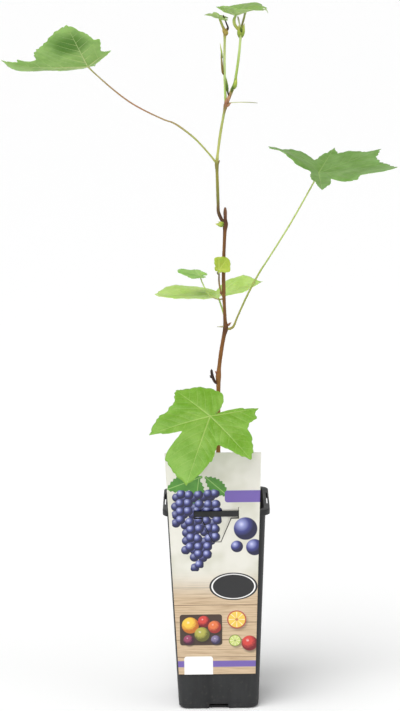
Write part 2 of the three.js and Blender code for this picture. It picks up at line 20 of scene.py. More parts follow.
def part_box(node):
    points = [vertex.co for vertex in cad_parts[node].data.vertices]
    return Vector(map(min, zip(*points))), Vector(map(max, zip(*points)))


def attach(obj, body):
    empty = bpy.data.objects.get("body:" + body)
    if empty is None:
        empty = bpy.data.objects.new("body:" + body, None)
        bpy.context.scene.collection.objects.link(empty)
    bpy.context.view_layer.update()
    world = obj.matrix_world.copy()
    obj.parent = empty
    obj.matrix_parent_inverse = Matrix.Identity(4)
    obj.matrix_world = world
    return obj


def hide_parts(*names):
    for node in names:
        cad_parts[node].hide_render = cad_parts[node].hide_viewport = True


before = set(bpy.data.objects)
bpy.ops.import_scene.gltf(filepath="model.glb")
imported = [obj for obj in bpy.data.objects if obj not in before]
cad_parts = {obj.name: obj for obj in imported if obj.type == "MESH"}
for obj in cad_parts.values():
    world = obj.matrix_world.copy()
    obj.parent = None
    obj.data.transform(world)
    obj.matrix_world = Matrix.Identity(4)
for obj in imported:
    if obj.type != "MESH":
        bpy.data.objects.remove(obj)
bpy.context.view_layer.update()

MM = 0.001
BODY = "root"
UV_UNIT = 100.0  # millimetres that one unit of a blade's or a card's UV map stands for

Colour = tuple[float, float, float, float]
Station = tuple[float, float, float, float]
Place = tuple[float, float, float]
Pair = tuple[float, float]
Faces = list[tuple[int, ...]]
Grid = dict[str, np.ndarray]
Socket = bpy.types.NodeSocket

log = logging.getLogger("grapevine")


class Slot(Enum):
    """The material slots."""

    POT = "pot_plastic"
    SOIL = "potting_soil"
    CARD = "printed_card"
    BROWN_STEM = "brown_stem"
    DEAD_WOOD = "dead_wood"
    GREEN_STEM = "green_stem"
    STALK = "leaf_stalk"
    BLADE = "leaf_blade"


def srgb(red: int, green: int, blue: int) -> Colour:
    """Turns a screen colour into the linear colour that a shader takes.

    Args:
        red, green, blue: the colour's parts, from 0 to 255.

    Returns:
        The linear colour with full alpha.
    """
    def linear(part: int) -> float:
        """One part of the colour, made linear."""
        share = part / 255
        return share / 12.92 if share <= 0.04045 else ((share + 0.055) / 1.055) ** 2.4

    return linear(red), linear(green), linear(blue), 1.0


def ease(share: np.ndarray) -> np.ndarray:
    """A smooth step from 0 to 1 for shares from 0 to 1."""
    return share * share * (3 - 2 * share)


# ---------------------------------------------------------------- node trees
class Graph:
    """A node tree that is written in short calls."""

    def __init__(self, tree: bpy.types.NodeTree) -> None:
        """Keeps the tree that the calls add to."""
        self.tree = tree

    def add(self, kind: str, inputs: dict | None = None, **settings: Any) -> bpy.types.Node:
        """Adds one node.

        Args:
            kind: the node's type name.
            inputs: a value or a socket for each input, by its name or number.
            settings: the node's own properties.

        Returns:
            The new node.
        """
        node = self.tree.nodes.new(kind)
        for key, value in settings.items():
            setattr(node, key, value)
        for key, value in (inputs or {}).items():
            self.feed(node.inputs[key], value)
        return node

    def feed(self, socket: Socket, value: Any) -> None:
        """Links a socket to an input, or sets the input's own value.

        Args:
            socket: the input.
            value: a socket or a plain value.
        """
        if isinstance(value, bpy.types.NodeSocket):
            self.tree.links.new(value, socket)
        else:
            socket.default_value = value

    def math(self, operation: str, a: Any, b: Any = 0.0, c: Any = 0.0) -> Socket:
        """The result of a Math node on up to three values."""
        return self.add("ShaderNodeMath", {0: a, 1: b, 2: c}, operation=operation).outputs[0]

    def vector(self, operation: str, a: Any, b: Any = (0, 0, 0)) -> Socket:
        """The vector result of a Vector Math node."""
        return self.add("ShaderNodeVectorMath", {0: a, 1: b}, operation=operation).outputs[0]

    def parts(self, vector: Socket) -> tuple[Socket, Socket, Socket]:
        """The X, Y and Z of a vector."""
        node = self.add("ShaderNodeSeparateXYZ", {0: vector})
        return node.outputs[0], node.outputs[1], node.outputs[2]

    def combine(self, x: Any, y: Any, z: Any = 0.0) -> Socket:
        """A vector made of three values."""
        return self.add("ShaderNodeCombineXYZ", {0: x, 1: y, 2: z}).outputs[0]

    def noise(self, vector: Socket, scale: float, detail: float = 2.0, rough: float = 0.5) -> Socket:
        """The value of a noise texture."""
        inputs = {"Vector": vector, "Scale": scale, "Detail": detail, "Roughness": rough}
        return self.add("ShaderNodeTexNoise", inputs).outputs[0]

    def step(self, value: Any, low: Any, high: Any, start: float = 0.0, end: float = 1.0) -> Socket:
        """A smooth step of a value from start, at low, to end, at high.

        Args:
            value: the value that is compared.
            low, high: where the step begins and ends.
            start, end: the results there.

        Returns:
            The stepped value.
        """
        inputs = {0: value, 1: low, 2: high, 3: start, 4: end}
        node = self.add("ShaderNodeMapRange", inputs, interpolation_type="SMOOTHSTEP")
        return node.outputs[0]

    def mix(self, factor: Any, a: Any, b: Any) -> Socket:
        """A colour between a and b."""
        return self.add("ShaderNodeMix", {0: factor, 6: a, 7: b}, data_type="RGBA").outputs[2]

    def ramp(self, factor: Any, stops: Sequence[tuple[float, Colour]]) -> Socket:
        """The colour of a ramp at a factor.

        Args:
            factor: the place on the ramp.
            stops: a place and a colour for each stop, in order.

        Returns:
            The colour socket.
        """
        node = self.add("ShaderNodeValToRGB", {0: factor})
        elements = node.color_ramp.elements
        while len(elements) < len(stops):
            elements.new(1.0)
        for element, (place, colour) in zip(elements, stops):
            element.position = place
            element.color = colour
        return node.outputs[0]

    def bump(self, height: Socket, distance: float, strength: float = 1.0) -> Socket:
        """The normal of a surface with this relief, in metres."""
        inputs = {"Height": height, "Distance": distance, "Strength": strength}
        return self.add("ShaderNodeBump", inputs).outputs[0]


class NodeTool:
    """A Geometry Nodes tree with named inputs, run on an object and turned into a mesh."""

    def __init__(self, name: str, inputs: dict[str, str]) -> None:
        """Makes the tree with a geometry input and output and the named inputs.

        Args:
            name: the tree's name.
            inputs: the socket type of each named input.
        """
        self.tree = bpy.data.node_groups.new(name, "GeometryNodeTree")
        interface = self.tree.interface
        interface.new_socket("Geometry", in_out="INPUT", socket_type="NodeSocketGeometry")
        interface.new_socket("Geometry", in_out="OUTPUT", socket_type="NodeSocketGeometry")
        self.sockets = {
            key: interface.new_socket(key, in_out="INPUT", socket_type=kind)
            for key, kind in inputs.items()
        }
        self.graph = Graph(self.tree)
        self.source = self.graph.add("NodeGroupInput")

    def finish(self, geometry: Socket) -> None:
        """Realizes the instances, sets the material and closes the tree.

        Args:
            geometry: what the tree has made.
        """
        graph = self.graph
        realized = graph.add("GeometryNodeRealizeInstances", {0: geometry})
        smooth = graph.add("GeometryNodeSetShadeSmooth", {0: realized.outputs[0]})
        material = self.source.outputs["Material"]
        painted = graph.add("GeometryNodeSetMaterial", {0: smooth.outputs[0], 2: material})
        graph.add("NodeGroupOutput", {0: painted.outputs[0]})

    def run(self, base: bpy.types.Object, values: dict[str, Any]) -> bpy.types.Object:
        """Runs the tree on an object and keeps the result as its plain mesh.

        Args:
            base: the mesh object that goes into the tree.
            values: a value for each named input.

        Returns:
            The same object, with the new mesh and no modifier.
        """
        modifier = base.modifiers.new("shape", "NODES")
        modifier.node_group = self.tree
        for key, value in values.items():
            modifier[self.sockets[key].identifier] = value
        depsgraph = bpy.context.evaluated_depsgraph_get()
        mesh = bpy.data.meshes.new_from_object(base.evaluated_get(depsgraph), depsgraph=depsgraph)
        base.modifiers.clear()
        base.data = mesh
        return base


# ---------------------------------------------------------------- meshes and pieces
def link(name: str, mesh: bpy.types.Mesh) -> bpy.types.Object:
    """Puts a mesh in the scene as an object at the origin.

    Args:
        name: the object's name.
        mesh: its mesh.

    Returns:
        The new object.
    """
    piece = bpy.data.objects.new(name, mesh)
    bpy.context.scene.collection.objects.link(piece)
    return piece


def solid(name: str, points: np.ndarray, faces: Faces) -> bpy.types.Object:
    """Makes a smooth mesh object.

    Args:
        name: the object's name.
        points: the vertices in millimetres.
        faces: the vertex numbers of each face.

    Returns:
        The new object.
    """
    mesh = bpy.data.meshes.new(name)
    mesh.from_pydata((np.asarray(points) * MM).tolist(), [], faces)
    mesh.shade_smooth()
    return link(name, mesh)


def settle(piece: bpy.types.Object, slot: Slot, *nodes: str) -> None:
    """Fixes a finished piece to the body and hides the nodes that it stands for.

    Args:
        piece: the finished piece.
        slot: its material slot; not used.
        nodes: the nodes that it stands in for.
    """
    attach(piece, BODY)
    if nodes:
        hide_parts(*nodes)
    log.info("%s: %d faces", piece.name, len(piece.data.polygons))


def loft(rings: Sequence[np.ndarray], offset: int = 0) -> Faces:
    """Faces of a closed skin over rings that hold the same number of points.

    Args:
        rings: the rings, anticlockwise seen from where the stack grows to.
        offset: the number of the first ring's first vertex.

    Returns:
        Quads between the rings and one face over each end.
    """
    count = len(rings[0])
    faces: Faces = []
    for low in range(offset, offset + (len(rings) - 1) * count, count):
        for i in range(count):
            j = (i + 1) % count
            faces.append((low + i, low + j, low + j + count, low + i + count))
    faces.append(tuple(range(offset + count - 1, offset - 1, -1)))
    top = offset + (len(rings) - 1) * count
    faces.append(tuple(range(top, top + count)))
    return faces


def square_ring(half: float, z: float, corner: float, side_steps: int = 8) -> np.ndarray:
    """A level square with round corners.

    Args:
        half: half its width.
        z: its height.
        corner: its corner radius.
        side_steps: segments along each straight side.

    Returns:
        The ring's points, anticlockwise from above.
    """
    arc = np.linspace(0, math.pi / 2, 11)
    inner = half - corner
    points = []
    for quarter in range(4):
        turn = quarter * math.pi / 2
        x = inner + corner * np.cos(arc)
        y = inner + corner * np.sin(arc)
        along = np.linspace(inner, -inner, side_steps + 1)[1:-1]
        x = np.concatenate([x, along])
        y = np.concatenate([y, np.full_like(along, half)])
        points.append(np.stack([x * math.cos(turn) - y * math.sin(turn),
                                x * math.sin(turn) + y * math.cos(turn)], 1))
    flat = np.concatenate(points)
    return np.column_stack([flat, np.full(len(flat), z)])


# ---------------------------------------------------------------- finishes
@dataclass(frozen=True)
class Finish:
    """A procedural material."""

    name: str

    def make(self) -> bpy.types.Material:
        """Builds the material.

        Returns:
            The new material.
        """
        material = bpy.data.materials.new(self.name)
        material.use_nodes = True
        self.paint(Graph(material.node_tree), material.node_tree.nodes["Principled BSDF"])
        return material

    def paint(self, graph: Graph, shader: bpy.types.Node) -> None:
        """Adds the nodes of this finish; each finish has its own."""
        raise NotImplementedError


@dataclass(frozen=True)
class PotPlastic(Finish):
    """Recycled black plastic: matt, faintly streaked, with dust near the foot."""

    name: str = "pot_plastic_black"
    dark: Colour = srgb(32, 33, 34)
    light: Colour = srgb(48, 49, 50)
    dust: Colour = srgb(82, 77, 70)

    def paint(self, graph: Graph, shader: bpy.types.Node) -> None:
        """Mottled colour, uneven gloss and a fine moulded grain.

        Args:
            graph: the material's nodes.
            shader: its main shader.
        """
        place = graph.add("ShaderNodeTexCoord").outputs["Object"]
        streaks = graph.noise(graph.vector("MULTIPLY", place, (70, 70, 9)), 1.0, 4.0, 0.6)
        clouds = graph.noise(place, 22.0, 3.0)
        grain = graph.noise(place, 900.0, 2.0)
        tone = graph.math("MULTIPLY_ADD", streaks, 0.6, graph.math("MULTIPLY", clouds, 0.4))
        colour = graph.mix(graph.step(tone, 0.35, 0.66), self.dark, self.light)
        height = graph.parts(place)[2]
        low = graph.step(height, 0.004, 0.05, 0.22, 0.05)
        specks = graph.math("MULTIPLY", graph.step(graph.noise(place, 260.0, 3.0), 0.56, 0.7), low)
        graph.feed(shader.inputs["Base Color"], graph.mix(specks, colour, self.dust))
        graph.feed(shader.inputs["Roughness"], graph.step(clouds, 0.3, 0.7, 0.42, 0.58))
        shader.inputs["Specular IOR Level"].default_value = 0.28
        relief = graph.math("MULTIPLY_ADD", streaks, 0.7, grain)
        graph.feed(shader.inputs["Normal"], graph.bump(relief, 0.00012, 0.6))


@dataclass(frozen=True)
class Earth(Finish):
    """Crumbly potting mix, or its chips and fibres, in two tones."""

    dark: Colour = srgb(38, 27, 20)
    light: Colour = srgb(86, 62, 44)
    grain: float = 380.0
    rough: float = 0.92

    def paint(self, graph: Graph, shader: bpy.types.Node) -> None:
        """Patches of two tones with a coarse crumbly relief.

        Args:
            graph: the material's nodes.
            shader: its main shader.
        """
        place = graph.add("ShaderNodeTexCoord").outputs["Object"]
        patches = graph.noise(place, self.grain, 4.0, 0.65)
        broad = graph.noise(place, self.grain / 6, 2.0)
        tone = graph.math("MULTIPLY_ADD", broad, 0.5, graph.math("MULTIPLY", patches, 0.5))
        colour = graph.mix(graph.step(tone, 0.38, 0.64), self.dark, self.light)
        graph.feed(shader.inputs["Base Color"], colour)
        shader.inputs["Roughness"].default_value = self.rough
        graph.feed(shader.inputs["Normal"], graph.bump(patches, 0.0008))


@dataclass(frozen=True)
class StemSkin(Finish):
    """The skin of a stem, shoot or stalk, with its own colours along its length."""

    stops: tuple[tuple[float, Colour], ...] = ()
    streak: Colour = srgb(60, 36, 20)
    streak_share: float = 0.4
    rough: float = 0.6
    relief: float = 0.0001

    def paint(self, graph: Graph, shader: bpy.types.Node) -> None:
        """Colour along the limb, long streaks, small pores and a fibrous relief.

        Args:
            graph: the material's nodes.
            shader: its main shader.
        """
        place = graph.add("ShaderNodeTexCoord").outputs["Object"]
        along = graph.add("ShaderNodeAttribute", attribute_name="along").outputs["Fac"]
        drift = graph.math("MULTIPLY_ADD", graph.noise(place, 60.0), 0.05, along)
        colour = graph.ramp(graph.math("SUBTRACT", drift, 0.025), self.stops)
        fibres = graph.noise(graph.vector("MULTIPLY", place, (1500, 1500, 70)), 1.0, 3.0, 0.6)
        bands = graph.noise(graph.vector("MULTIPLY", place, (420, 420, 30)), 1.0, 2.0)
        share = graph.math("MULTIPLY", graph.step(bands, 0.46, 0.68), self.streak_share)
        colour = graph.mix(share, colour, self.streak)
        pores = graph.step(graph.noise(place, 1400.0, 1.0), 0.66, 0.74, 0.0, self.streak_share)
        graph.feed(shader.inputs["Base Color"], graph.mix(pores, colour, self.streak))
        graph.feed(shader.inputs["Roughness"],
                   graph.step(fibres, 0.3, 0.7, self.rough - 0.08, self.rough + 0.1))
        shader.inputs["Specular IOR Level"].default_value = 0.4
        shader.inputs["Subsurface Weight"].default_value = 0.08
        shader.inputs["Subsurface Scale"].default_value = 0.001
        relief = graph.math("MULTIPLY_ADD", bands, 0.8, fibres)
        graph.feed(shader.inputs["Normal"], graph.bump(relief, self.relief, 0.9))


@dataclass(frozen=True)
class VeinPlan:
    """Where the side veins of a blade run, for its skin and its relief.

    A side vein leaves the main vein at a slant and sweeps towards the lobe's tip.
    """

    spacing: float = 11.5
    slant: float = 0.8  # millimetres along the main vein for each one across
    sweep: float = 0.014
    first: float = 8.0

    def phase(self, along: np.ndarray, across: np.ndarray) -> np.ndarray:
        """A number that is whole on a side vein and counts them outwards.

        Args:
            along, across: places measured along and across the main vein.

        Returns:
            The number at each place.
        """
        side = np.abs(across)
        run = along - side * self.slant - side**2 * self.sweep - self.first
        return run / self.spacing + np.where(across > 0, 0.5, 0.0)


@dataclass(frozen=True)
class BladeSkin(Finish):
    """One face of a vine leaf: veins in three sizes, patches and a soft sheen."""

    plan: VeinPlan = VeinPlan()
    ground: Colour = srgb(116, 160, 58)
    patch: Colour = srgb(140, 180, 84)
    vein: Colour = srgb(186, 208, 128)
    margin: Colour = srgb(150, 176, 90)
    vein_share: float = 0.8
    raised: float = -1.0  # the veins are sunk on the upper face and raised below
    rough: float = 0.48
    glow: float = 0.3
    # Painted shade: a darker green for the shade of a fold across the blade, and below it the place and size
    # of that spot
    painted_shade: Colour = srgb(70, 116, 6)
    painted_shade_spot: Place = (0.0, 0.0, 0.0)  # its place and size on the flat blade

    def paint(self, graph: Graph, shader: bpy.types.Node) -> None:
        """Colours the blade by its vein coordinates and gives it a fine relief.

        Args:
            graph: the material's nodes.
            shader: its main shader.
        """
        flat = graph.vector("MULTIPLY", self._map(graph, "blade"), (UV_UNIT, UV_UNIT, 1))
        own = graph.vector("MULTIPLY", self._map(graph, "vein"), (UV_UNIT, UV_UNIT, 1))
        edge = graph.add("ShaderNodeAttribute", attribute_name="edge").outputs["Fac"]
        along, across, _ = graph.parts(own)
        side = graph.math("ABSOLUTE", across)

        wide = graph.step(edge, 0.0, 1.0, 0.85, 0.22)
        main = graph.step(graph.math("DIVIDE", side, wide), 0.5, 1.25, 1.0, 0.0)
        near = self._side_vein(graph, flat, along, across, side)
        warp = graph.noise(flat, 0.25)
        bent = graph.vector("ADD", flat, graph.combine(graph.math("MULTIPLY", warp, 2.0), warp))
        fade = graph.math("MULTIPLY", graph.step(edge, 0.8, 1.0, 1.0, 0.15),
                          graph.step(along, 3.0, 12.0))
        second = graph.math("MULTIPLY", graph.step(near, 0.1, 0.45, 0.55, 0.0), fade)
        net = graph.add("ShaderNodeTexVoronoi", {"Vector": bent, "Scale": 0.42},
                        voronoi_dimensions="2D", feature="DISTANCE_TO_EDGE").outputs[0]
        third = graph.step(net, 0.0, 0.1, 0.16, 0.0)
        lines = graph.math("MAXIMUM", main, graph.math("MAXIMUM", second, third))

        patches = graph.noise(flat, 0.045, 3.0, 0.6)
        fine = graph.noise(flat, 0.5, 2.0)
        tone = graph.math("MULTIPLY_ADD", fine, 0.25, graph.math("MULTIPLY", patches, 0.75))
        colour = graph.mix(graph.step(tone, 0.36, 0.64), self.ground, self.patch)
        colour = graph.mix(graph.step(edge, 0.93, 1.0, 0.0, 0.5), colour, self.margin)
        # Painted shade: a darker green spot with a wavy edge, standing in for the shade of a fold
        x, y, size = self.painted_shade_spot
        if size:
            away = graph.add("ShaderNodeVectorMath", {0: flat, 1: (x, y, 0)},
                             operation="DISTANCE").outputs[1]
            wavy = graph.math("MULTIPLY_ADD", patches, size * 0.5, away)
            colour = graph.mix(graph.step(wavy, size * 0.5, size * 1.3, 0.95, 0.0), colour, self.painted_shade)
        share = graph.math("MULTIPLY", lines, self.vein_share)
        graph.feed(shader.inputs["Base Color"], graph.mix(share, colour, self.vein))
        graph.feed(shader.inputs["Roughness"],
                   graph.step(fine, 0.3, 0.7, self.rough - 0.05, self.rough + 0.08))
        shader.inputs["Specular IOR Level"].default_value = 0.4
        shader.inputs["Subsurface Weight"].default_value = self.glow
        shader.inputs["Subsurface Radius"].default_value = (0.6, 1.0, 0.2)
        shader.inputs["Subsurface Scale"].default_value = 0.0012
        relief = graph.math("MULTIPLY_ADD", lines, self.raised, graph.math("MULTIPLY", fine, 0.3))
        graph.feed(shader.inputs["Normal"], graph.bump(relief, 0.00025, 0.8))

    def _map(self, graph: Graph, name: str) -> Socket:
        """The UV map of that name."""
        return graph.add("ShaderNodeUVMap", uv_map=name).outputs[0]

    def _side_vein(self, graph: Graph, flat: Socket, along: Socket, across: Socket,
                   side: Socket) -> Socket:
        """The distance in millimetres to the nearest side vein, by the vein plan.

        Args:
            graph: the material's nodes.
            flat: the place on the flat blade.
            along, across: the place along and across the main vein.
            side: how far across, without its sign.

        Returns:
            The distance.
        """
        plan = self.plan
        swept = graph.math("MULTIPLY_ADD", graph.math("MULTIPLY", side, side), plan.sweep,
                           graph.math("MULTIPLY", side, plan.slant))
        run = graph.math("SUBTRACT", graph.math("SUBTRACT", along, plan.first), swept)
        left = graph.math("MULTIPLY", graph.math("GREATER_THAN", across, 0.0), 0.5)
        wobble = graph.math("MULTIPLY_ADD", graph.noise(flat, 0.09), 0.16, -0.08)
        phase = graph.math("MULTIPLY_ADD", run, 1 / plan.spacing, graph.math("ADD", left, wobble))
        share = graph.math("FRACT", phase)
        gap = graph.math("SUBTRACT", 0.5, graph.math("ABSOLUTE", graph.math("SUBTRACT", share, 0.5)))
        return graph.math("MULTIPLY", gap, plan.spacing * math.sin(math.atan(1 / plan.slant)))


@dataclass(frozen=True)
class PlainCard(Finish):
    """The unprinted back and the cut edge of the label."""

    name: str = "card_back"
    tone: Colour = srgb(214, 212, 205)

    def paint(self, graph: Graph, shader: bpy.types.Node) -> None:
        """Off-white board with faint fibres.

        Args:
            graph: the material's nodes.
            shader: its main shader.
        """
        place = graph.add("ShaderNodeTexCoord").outputs["Object"]
        fibres = graph.noise(graph.vector("MULTIPLY", place, (700, 700, 260)), 1.0, 3.0, 0.6)
        shade = tuple(part * 0.9 for part in self.tone[:3]) + (1.0,)
        graph.feed(shader.inputs["Base Color"],
                   graph.mix(graph.step(fibres, 0.35, 0.7), self.tone, shade))
        shader.inputs["Roughness"].default_value = 0.55
        graph.feed(shader.inputs["Normal"], graph.bump(fibres, 0.00004, 0.5))


@dataclass(frozen=True)
class CardPrint(Finish):
    """The label's glossy front: a plain generic fruit print with no lettering.

    The UV map holds millimetres from the card's middle line and from its foot.
    """

    name: str = "card_print"
    paper: Colour = srgb(222, 220, 210)
    board: Colour = srgb(206, 182, 150)
    board_shade: Colour = srgb(160, 132, 100)
    berry_dark: Colour = srgb(24, 24, 62)
    berry: Colour = srgb(58, 62, 130)
    bloom: Colour = srgb(150, 156, 208)
    leaf: Colour = srgb(92, 158, 54)
    leaf_dark: Colour = srgb(52, 108, 36)
    purple: Colour = srgb(112, 92, 168)
    plaque: Colour = srgb(28, 28, 30)
    white: Colour = srgb(240, 240, 238)

    def paint(self, graph: Graph, shader: bpy.types.Node) -> None:
        """Lays the print's parts over each other from the ground up.

        Args:
            graph: the material's nodes.
            shader: its main shader.
        """
        scale = (UV_UNIT, UV_UNIT, 1)
        spot = graph.vector("MULTIPLY", graph.add("ShaderNodeUVMap", uv_map="print").outputs[0], scale)
        colour = self._boards(graph, spot)
        for centre, turn, length in ((-12, 214), 200, 40), ((-16, 212), 262, 34), ((-10, 214), 318, 32):
            colour = self._leaf(graph, spot, colour, centre, turn, length)
        for shift, depth in ((4.6, 3.4), 0.55), ((0.0, 0.0), 1.0):
            colour = self._bunch(graph, spot, colour, shift, depth)
        for centre, radius in ((31, 158), 12.5), ((40, 138), 9.0), ((22, 139), 6.5):
            colour = self._berry(graph, spot, colour, centre, radius)
        colour = self._band(graph, spot, colour, (-38, 6), (32, 66), srgb(66, 48, 38))
        fruits = (
            ((-27, 54), 9.0, srgb(238, 196, 70), srgb(186, 104, 30)),
            ((-13, 58), 6.5, srgb(206, 66, 58), srgb(112, 18, 30)),
            ((-29, 38), 5.5, srgb(150, 66, 96), srgb(62, 20, 44)),
            ((-15, 44), 8.0, srgb(174, 170, 76), srgb(96, 96, 34)),
            ((-2, 52), 7.0, srgb(222, 118, 66), srgb(150, 42, 36)),
            ((-1, 38), 5.0, srgb(128, 116, 150), srgb(46, 40, 74)),
            ((34, 34), 8.5, srgb(206, 66, 58), srgb(112, 18, 30)),
        )
        for centre, radius, light, shade in fruits:
            colour = self._fruit(graph, spot, colour, centre, radius, light, shade)
        slices = (
            ((21, 60), 10.0, srgb(176, 60, 60), srgb(232, 196, 84)),
            ((19, 37), 6.5, srgb(112, 132, 48), srgb(196, 208, 120)),
        )
        for centre, radius, rind, flesh in slices:
            colour = self._slice(graph, spot, colour, centre, radius, rind, flesh)
        colour = self._plaque(graph, spot, colour, (18, 96), (25, 15))
        colour = self._band(graph, spot, colour, (10, 80), (186, 199), self.purple)
        colour = self._band(graph, spot, colour, (-60, 60), (8, 15), self.purple)
        colour = self._band(graph, spot, colour, (-34, -4), (-4, 20), self.white)
        graph.feed(shader.inputs["Base Color"], colour)
        shader.inputs["Roughness"].default_value = 0.32
        shader.inputs["Specular IOR Level"].default_value = 0.45
        shader.inputs["Coat Weight"].default_value = 0.25
        shader.inputs["Coat Roughness"].default_value = 0.22
        ripple = graph.noise(spot, 0.05, 2.0)
        graph.feed(shader.inputs["Normal"], graph.bump(ripple, 0.0004, 0.5))

    def _boards(self, graph: Graph, spot: Socket) -> Socket:
        """Pale paper that turns into a level row of wooden boards lower down.

        Args:
            graph: the material's nodes.
            spot: the place on the print.

        Returns:
            The ground of the print.
        """
        x, y, _ = graph.parts(spot)
        grain = graph.noise(graph.combine(graph.math("MULTIPLY", x, 0.03), y), 0.9, 4.0, 0.6)
        share = graph.math("FRACT", graph.math("DIVIDE", y, 19.0))
        seam = graph.step(graph.math("ABSOLUTE", graph.math("SUBTRACT", share, 0.5)), 0.478, 0.492)
        wood = graph.mix(graph.step(grain, 0.4, 0.75), self.board, self.board_shade)
        wood = graph.mix(seam, wood, srgb(108, 84, 60))
        cloud = graph.noise(spot, 0.03, 2.0)
        paper = graph.mix(graph.step(cloud, 0.4, 0.7), self.paper, srgb(203, 202, 186))
        return graph.mix(graph.step(y, 78.0, 118.0), wood, paper)

    def _local(self, graph: Graph, spot: Socket, centre: Pair) -> Socket:
        """The print's coordinates measured from a centre."""
        return graph.vector("SUBTRACT", spot, (*centre, 0))

    def _distance(self, graph: Graph, vector: Socket) -> Socket:
        """The length of a vector."""
        return graph.add("ShaderNodeVectorMath", {0: vector}, operation="LENGTH").outputs[1]

    def _leaf(self, graph: Graph, spot: Socket, colour: Socket, centre: Pair,
              turn: float, length: float) -> Socket:
        """One pointed printed leaf with a pale middle line.

        Args:
            graph: the material's nodes.
            spot: the place on the print.
            colour: the print so far.
            centre: its foot on the print.
            turn: the direction that it points in, in degrees.
            length: its length.

        Returns:
            The print with it added.
        """
        place = self._local(graph, spot, centre)
        turned = graph.add("ShaderNodeVectorRotate", {"Vector": place, "Angle": -math.radians(turn)},
                           rotation_type="Z_AXIS").outputs[0]
        x, y, _ = graph.parts(turned)
        share = graph.math("MULTIPLY_ADD", x, 2 / length, -1.0)
        width = graph.math("MULTIPLY", graph.math("SUBTRACT", 1.0, graph.math("POWER", share, 2.0)),
                           length * 0.24)
        teeth = graph.math("MULTIPLY", graph.math("SINE", graph.math("MULTIPLY", x, 1.6)), 0.7)
        inside = graph.math("SUBTRACT", graph.math("ADD", width, teeth), graph.math("ABSOLUTE", y))
        mask = graph.step(inside, 0.0, 0.6)
        green = graph.mix(graph.noise(spot, 0.12), self.leaf_dark, self.leaf)
        rib = graph.step(graph.math("ABSOLUTE", y), 0.25, 0.6, 0.6, 0.0)
        return graph.mix(mask, colour, graph.mix(rib, green, srgb(170, 206, 120)))

    def _round(self, graph: Graph, place: Socket, radius: Any) -> tuple[Socket, Socket]:
        """The mask and the shaded colour of a round berry.

        Args:
            place: the coordinates from the berry's centre.
            radius: its radius in the same unit.

        Returns:
            The mask and the colour.
        """
        reach = graph.math("DIVIDE", self._distance(graph, place), radius)
        lit = graph.vector("ADD", place, (radius * 0.34, -radius * 0.38, 0))
        shade = graph.math("DIVIDE", self._distance(graph, lit), radius)
        colour = graph.ramp(shade, ((0.0, srgb(206, 208, 236)), (0.22, self.bloom),
                                    (0.62, self.berry), (1.0, self.berry_dark)))
        return graph.step(reach, 0.93, 1.0, 1.0, 0.0), colour

    def _berry(self, graph: Graph, spot: Socket, colour: Socket, centre: Pair,
               radius: float) -> Socket:
        """One loose berry."""
        mask, paint = self._round(graph, self._local(graph, spot, centre), radius)
        return graph.mix(mask, colour, paint)

    def _bunch(self, graph: Graph, spot: Socket, colour: Socket, shift: Pair,
               depth: float) -> Socket:
        """A layer of packed berries in the outline of a hanging bunch.

        Args:
            graph: the material's nodes.
            spot: the place on the print.
            colour: the print so far.
            shift: how far the layer is moved.
            depth: how much light reaches it.

        Returns:
            The print with it added.
        """
        cell = 9.2
        moved = graph.vector("ADD", spot, (*shift, 0))
        cells = graph.add("ShaderNodeTexVoronoi",
                          {"Vector": moved, "Scale": 1 / cell, "Randomness": 0.32},
                          voronoi_dimensions="2D")
        middle = cells.outputs["Position"]
        x, y, _ = graph.parts(middle)
        width = graph.step(y, 112.0, 178.0, 5.0, 25.0)
        offset = graph.math("ABSOLUTE", graph.math("ADD", x, 15.0))
        rise = graph.math("ABSOLUTE", graph.math("SUBTRACT", y, 158.0))
        held = graph.math("MULTIPLY", graph.math("LESS_THAN", offset, width),
                          graph.math("LESS_THAN", rise, 44.0))
        mask, paint = self._round(graph, graph.vector("SUBTRACT", moved, middle), cell * 0.54)
        shaded = graph.mix(depth, self.berry_dark, paint)
        return graph.mix(graph.math("MULTIPLY", mask, held), colour, shaded)

    def _slice(self, graph: Graph, spot: Socket, colour: Socket, centre: Pair,
               radius: float, rind: Colour, flesh: Colour) -> Socket:
        """A cut round fruit with a rind and a star of segments.

        Args:
            graph: the material's nodes.
            spot: the place on the print.
            colour: the print so far.
            centre: its middle on the print.
            radius: its radius.
            rind, flesh: its colours.

        Returns:
            The print with it added.
        """
        place = self._local(graph, spot, centre)
        x, y, _ = graph.parts(place)
        reach = graph.math("DIVIDE", self._distance(graph, place), radius)
        angle = graph.math("ARCTAN2", y, x)
        rays = graph.math("ABSOLUTE", graph.math("SINE", graph.math("MULTIPLY", angle, 4.0)))
        star = graph.math("MULTIPLY", graph.step(rays, 0.1, 0.35, 1.0, 0.0),
                          graph.step(reach, 0.78, 0.86, 0.8, 0.0))
        inner = graph.mix(star, flesh, srgb(250, 240, 214))
        inner = graph.mix(graph.step(reach, 0.12, 0.2, 0.7, 0.0), inner, rind)
        ringed = graph.mix(graph.step(reach, 0.84, 0.9), inner, rind)
        shadow = graph.vector("ADD", place, (-1.5, 2.0, 0))
        soft = graph.step(graph.math("DIVIDE", self._distance(graph, shadow), radius),
                          0.8, 1.15, 0.5, 0.0)
        grounded = graph.mix(soft, colour, srgb(60, 44, 34))
        return graph.mix(graph.step(reach, 0.97, 1.0, 1.0, 0.0), grounded, ringed)

